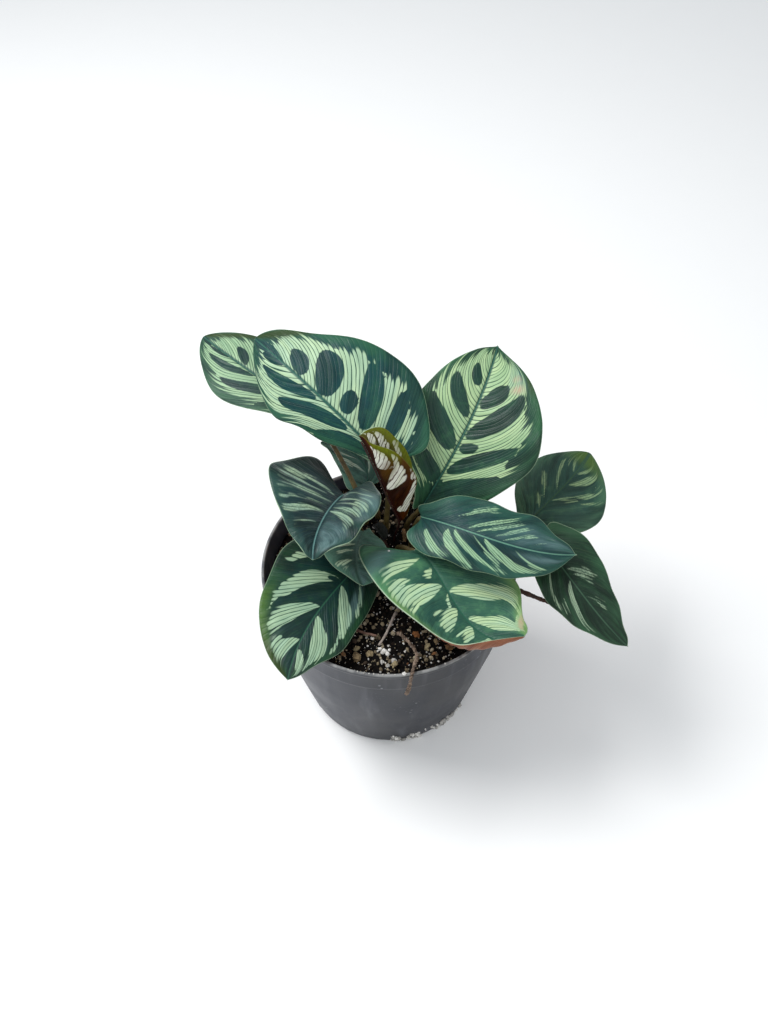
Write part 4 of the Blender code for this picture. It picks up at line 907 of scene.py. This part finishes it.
def bladeFinish(name, leaf, tones, under=False):
    finish, shader, place = newFinish(name, tones["gloss"])
    tree = place.tree
    vein, aside, fromMidrib = parts(attribute(tree, "leafPlace", "Vector"))
    pale, toEdge, ends = parts(attribute(tree, "leafMarks", "Vector"))
    warmAndShade, lime, tan = parts(attribute(tree, "leafTones", "Vector"))
    paintedSheen = attribute(tree, "leafPaintedSheen")
    side = calc("SIGN", aside)

    def alongVeins(fine, slow, detail, rough=0.5):  # a noise that runs along the veins
        course = addNode(tree, "CombineXYZ", enumerate((vein * fine, aside * slow, side)))
        return speckle(course, 1.0, detail, rough)

    lines = rise(side, -1, 1, leaf["lines"] * leaf.get("sparse", 1), leaf["lines"])
    broad, slow, mottle = alongVeins(16, 2, 2), alongVeins(7, 1.6, 3), speckle(place, 260, 4, 0.6)
    streak, fibres = alongVeins(lines * 2.2, 4, 3, 0.6), alongVeins(lines * 9, 5, 2)
    # the side veins, and the strips between them
    turns = vein * lines + broad * 1.4
    line = calc("ABSOLUTE", calc("FRACT", turns) - 0.5)
    strip = calc("FLOOR", turns) + side * 57.3
    luck = addNode(tree, "TexWhiteNoise", [("W", strip)], noise_dimensions="1D")
    # pale marks end in fingers, one to a strip, and have even sides
    finger = luck - 0.3 - line * (line * 1.8)
    loose = streak - 0.5 + (fibres - 0.5) * 0.6
    ragged = rise(ends, 0.1, 0.9, 0.35, 5) * finger + loose * rise(ends, 0, 1, 0.5, 2)
    border = (pale + ragged) / (rise(ends, 0.2, 1, 0.22, 0.9) * tones["soft"])
    dash = rise(alongVeins(lines * 2.5, 26, 3, 0.6), 0.4, 0.56)
    whole = 1 - rise(side, -1, 1, *leaf.get("dashes", (0, 0))) * (1 - dash)
    paleShare = rise(border, -1, 1) * tones["strength"] * whole
    # the green between them, lighter at the margin and dark beside the midrib
    green = layered(
        tones, "dark",
        (rise(toEdge, 9, 1) * rise(broad, 0.3, 0.6, 0.55, 1.0), "margin"),
        (rise(slow, 0.45, 0.25, 0, 0.5) + rise(mottle, 0.45, 0.7, 0, 0.4), "margin"),
        (rise(slow, 0.42, 0.68, 0, 0.75), "deep"),
        (rise(fibres, 0.4, 0.75, 0, 0.12), "margin"),
        (rise(line, 0.44, 0.49, 0, 0.1) * rise(streak, 0.4, 0.6), "lime"))
    light = layered(
        tones, "pale",
        (rise(broad, 0.35, 0.65), "paleWarm"),
        (rise(fibres, 0.35, 0.65, 0, 0.25), "margin"),
        (rise(line, 0.34, 0.45) * rise(streak, 0.35, 0.6, 0.6, 1.0), "veinDark"))
    colour = layered(
        tones, green,
        (paleShare, light),
        # painted sheen: bluish-grey strokes where the leaves catch the light
        (rise(paintedSheen, -3, 3) * rise(slow + streak * 0.2, 0.45, 0.75, 0.1, 0.45), "paintedSheen"),
        (rise(lime, -3, 3) * (rise(toEdge, 7, 0) * rise(streak, 0.3, 0.7, 0.55, 0.85)), "lime"),
        # the leaf's own warm tint, and on mid_left a near-black painted shade
        (rise(warmAndShade, -3, 4) * 0.8, "warmAndShade"),
        (rise(tan, -1, 2) * rise(streak, 0.35, 0.6, 0.2, 0.9), "tan"),
        # the midrib between two dark seams, and the thin pale edge
        (rise(fromMidrib, 1.2, 0.6, 0, 0.7), "dark"),
        (rise(fromMidrib, 0.5, 0.25), "midrib"),
        (rise(toEdge, 0.4, 0.1, 0, 0.7), "edge"))
    if under:
        colour = layered(tones, "under", (paleShare * 0.6, "underPale"),
                         (rise(broad, 0.3, 0.7, 0, 0.3), "underPale"))
    relief = fibres * 0.35 - rise(line, 0.25, 0.5) * 0.55 + speckle(place, 1500, 2) * 0.3
    feed(shader, colour, rise(streak, 0.3, 0.7, 0.3, 0.46), relief, 0.55, 0.0003)
    return finish


def plainFinish(name, codes, scale, depth, roughness, stretch=(1, 1, 1)):
    finish, shader, place = newFinish(name, 0.4)
    broad, fine = speckle(place, scale, 3), speckle(stretched(place, stretch), scale * 6, 4, 0.6)
    colour = layered(codes, 0, (rise(broad, 0.3, 0.7), 1), (rise(fine, 0.5, 0.75, 0, 0.6), 2))
    feed(shader, colour, rise(fine, 0.3, 0.7, roughness, roughness + 0.15), fine, 0.6, depth)
    return finish


def buildLeaves():
    plain = {key: plainFinish(*look) for key, look in plainLooks.items()}
    stems = dict(withered="dark", young="red", low_right="dark")
    slots = dict(withered="withered_leaf", young="young_leaf")
    for name, leaf in leaves.items():
        slotName = slots.get(name, "leaf")
        if name == "withered":
            finishes = [plain["dry"]] * 3
        else:
            tones = dict(leafColours, **leafTones.get(name, {}))
            lower = dict(tones, **youngUnder) if name == "young" else tones
            finishes = [bladeFinish(name + " upper", leaf, tones),
                        bladeFinish(name + " under", leaf, lower, name != "young"), plain["edge"]]
        buildBlade(name, leaf, finishes, slotName)
        mesh = tubeMesh(name + "_stalk", stalkRoute(leaf))
        addPiece("leaf_" + name + "_stalk", mesh, [plain[stems.get(name, "green")]], slotName, "leaf_" + name)


buildSoil()
buildGrains()
print("soil and its grains")
buildLeaves()
print("leaves")


# Dead stems and roots

strands = {
    "old_stalk": dict(
        corners=((19, 12, 84), (19, 12, 92), (27, 6, 97), (40, -5, 99), (53, -14, 99.5), (60, -18, 99.6),
                 (66, -20, 98), (72, -20.5, 94.5), (77, -20.5, 91)),
        radii=(1.4, 0.9), slot="dead_stalk", colours=("#24120A", "#3B2216", "#160B06")),
    "dry_root": dict(
        corners=((4, -34, 84), (4, -34, 90), (6, -37, 91.8), (10, -42, 92.3), (12, -49, 95.5), (11, -54, 98.1),
                 (10, -58, 98.5), (9, -61, 97.4), (8.5, -62.3, 94), (8, -62.5, 89), (7, -62.7, 85)),
        radii=(0.7, 0.44), slot="dead_stalk", colours=("#43352B", "#94806F", "#140D09"), twist=0.5, pitch=4.4),
    "pale_straw": dict(
        corners=((3, -23, 84), (3, -23, 90), (1, -28.5, 91.3), (-2, -35.5, 90.8), (-5, -40.5, 90.4)),
        radii=(0.8, 0.5), slot="straw", colours=("#7E716A", "#A59A90", "#4E4440")),
    "twig": dict(
        corners=((-15, -32, 84), (-15, -32, 89.5), (-12, -34, 90.9), (-6, -35.5, 90.5)),
        radii=(0.85, 0.5), slot="dead_stalk", colours=("#5A4036", "#7E6254", "#33211A")),
    "cut_stub": dict(
        corners=((8, 18.6, 84), (8, 18.6, 92), (7.4, 20, 97)),
        radii=(1.2, 1.0), slot="dead_stalk", colours=("#8A6A48", "#A5865E", "#5E4630")),
}


knots = dict(steps=14, depth=0.3, scale=0.8)  # how finely a strand is drawn, and how its radius varies
threads = dict(starts=(0, 2.1, 4.2), strayScale=0.7, thin=0.6, thicker=0.5)
strandLook = dict(scale=350, depth=0.0003, roughness=0.7)


def smoothRoute(corners, radii):  # a curve through the corners, with a knotty radius
    steps = knots["steps"]
    corners = [Vector(corner) for corner in corners]
    corners = [2 * corners[0] - corners[1], *corners, 2 * corners[-1] - corners[-2]]
    spans = len(corners) - 3
    route = []
    for index in range(spans * steps + 1):
        span = min(index // steps, spans - 1)
        step = index / steps - span
        point = curved(*corners[span:span + 4], step)
        share = index / (spans * steps)
        knot = 1 + knots["depth"] * noise.noise(point * knots["scale"])
        route.append((point, (radii[0] + (radii[1] - radii[0]) * share) * knot))
    return route


def buildStrands():
    for name, strand in strands.items():
        finish = plainFinish(name.replace("_", " "), strand["colours"], **strandLook)
        route = smoothRoute(strand["corners"], strand["radii"])
        ways = [route]
        if "twist" in strand:  # loose threads wound round each other
            ways = []
            for start in threads["starts"]:
                turned, travelled = [], 0.0
                for index, (point, radius) in enumerate(route):
                    ahead = route[min(index + 1, len(route) - 1)][0] - route[max(index - 1, 0)][0]
                    travelled += ahead.length / 2
                    first = ahead.normalized().orthogonal().normalized()
                    second = ahead.normalized().cross(first)
                    angle = math.tau * travelled / strand["pitch"] + start
                    stray = noise.noise(Vector((travelled * threads["strayScale"], start, 0)))
                    offset = (first * math.cos(angle) + second * math.sin(angle)) * strand["twist"] * (1 + stray)
                    turned.append((point + offset, radius * (threads["thin"] + threads["thicker"] * stray)))
                ways.append(turned)
        for index, way in enumerate(ways):
            mesh = tubeMesh(name, way)
            addPiece(name + "_strand" + "_b" * index, mesh, [finish], strand["slot"], name)


buildStrands()
print("dead stems and roots")
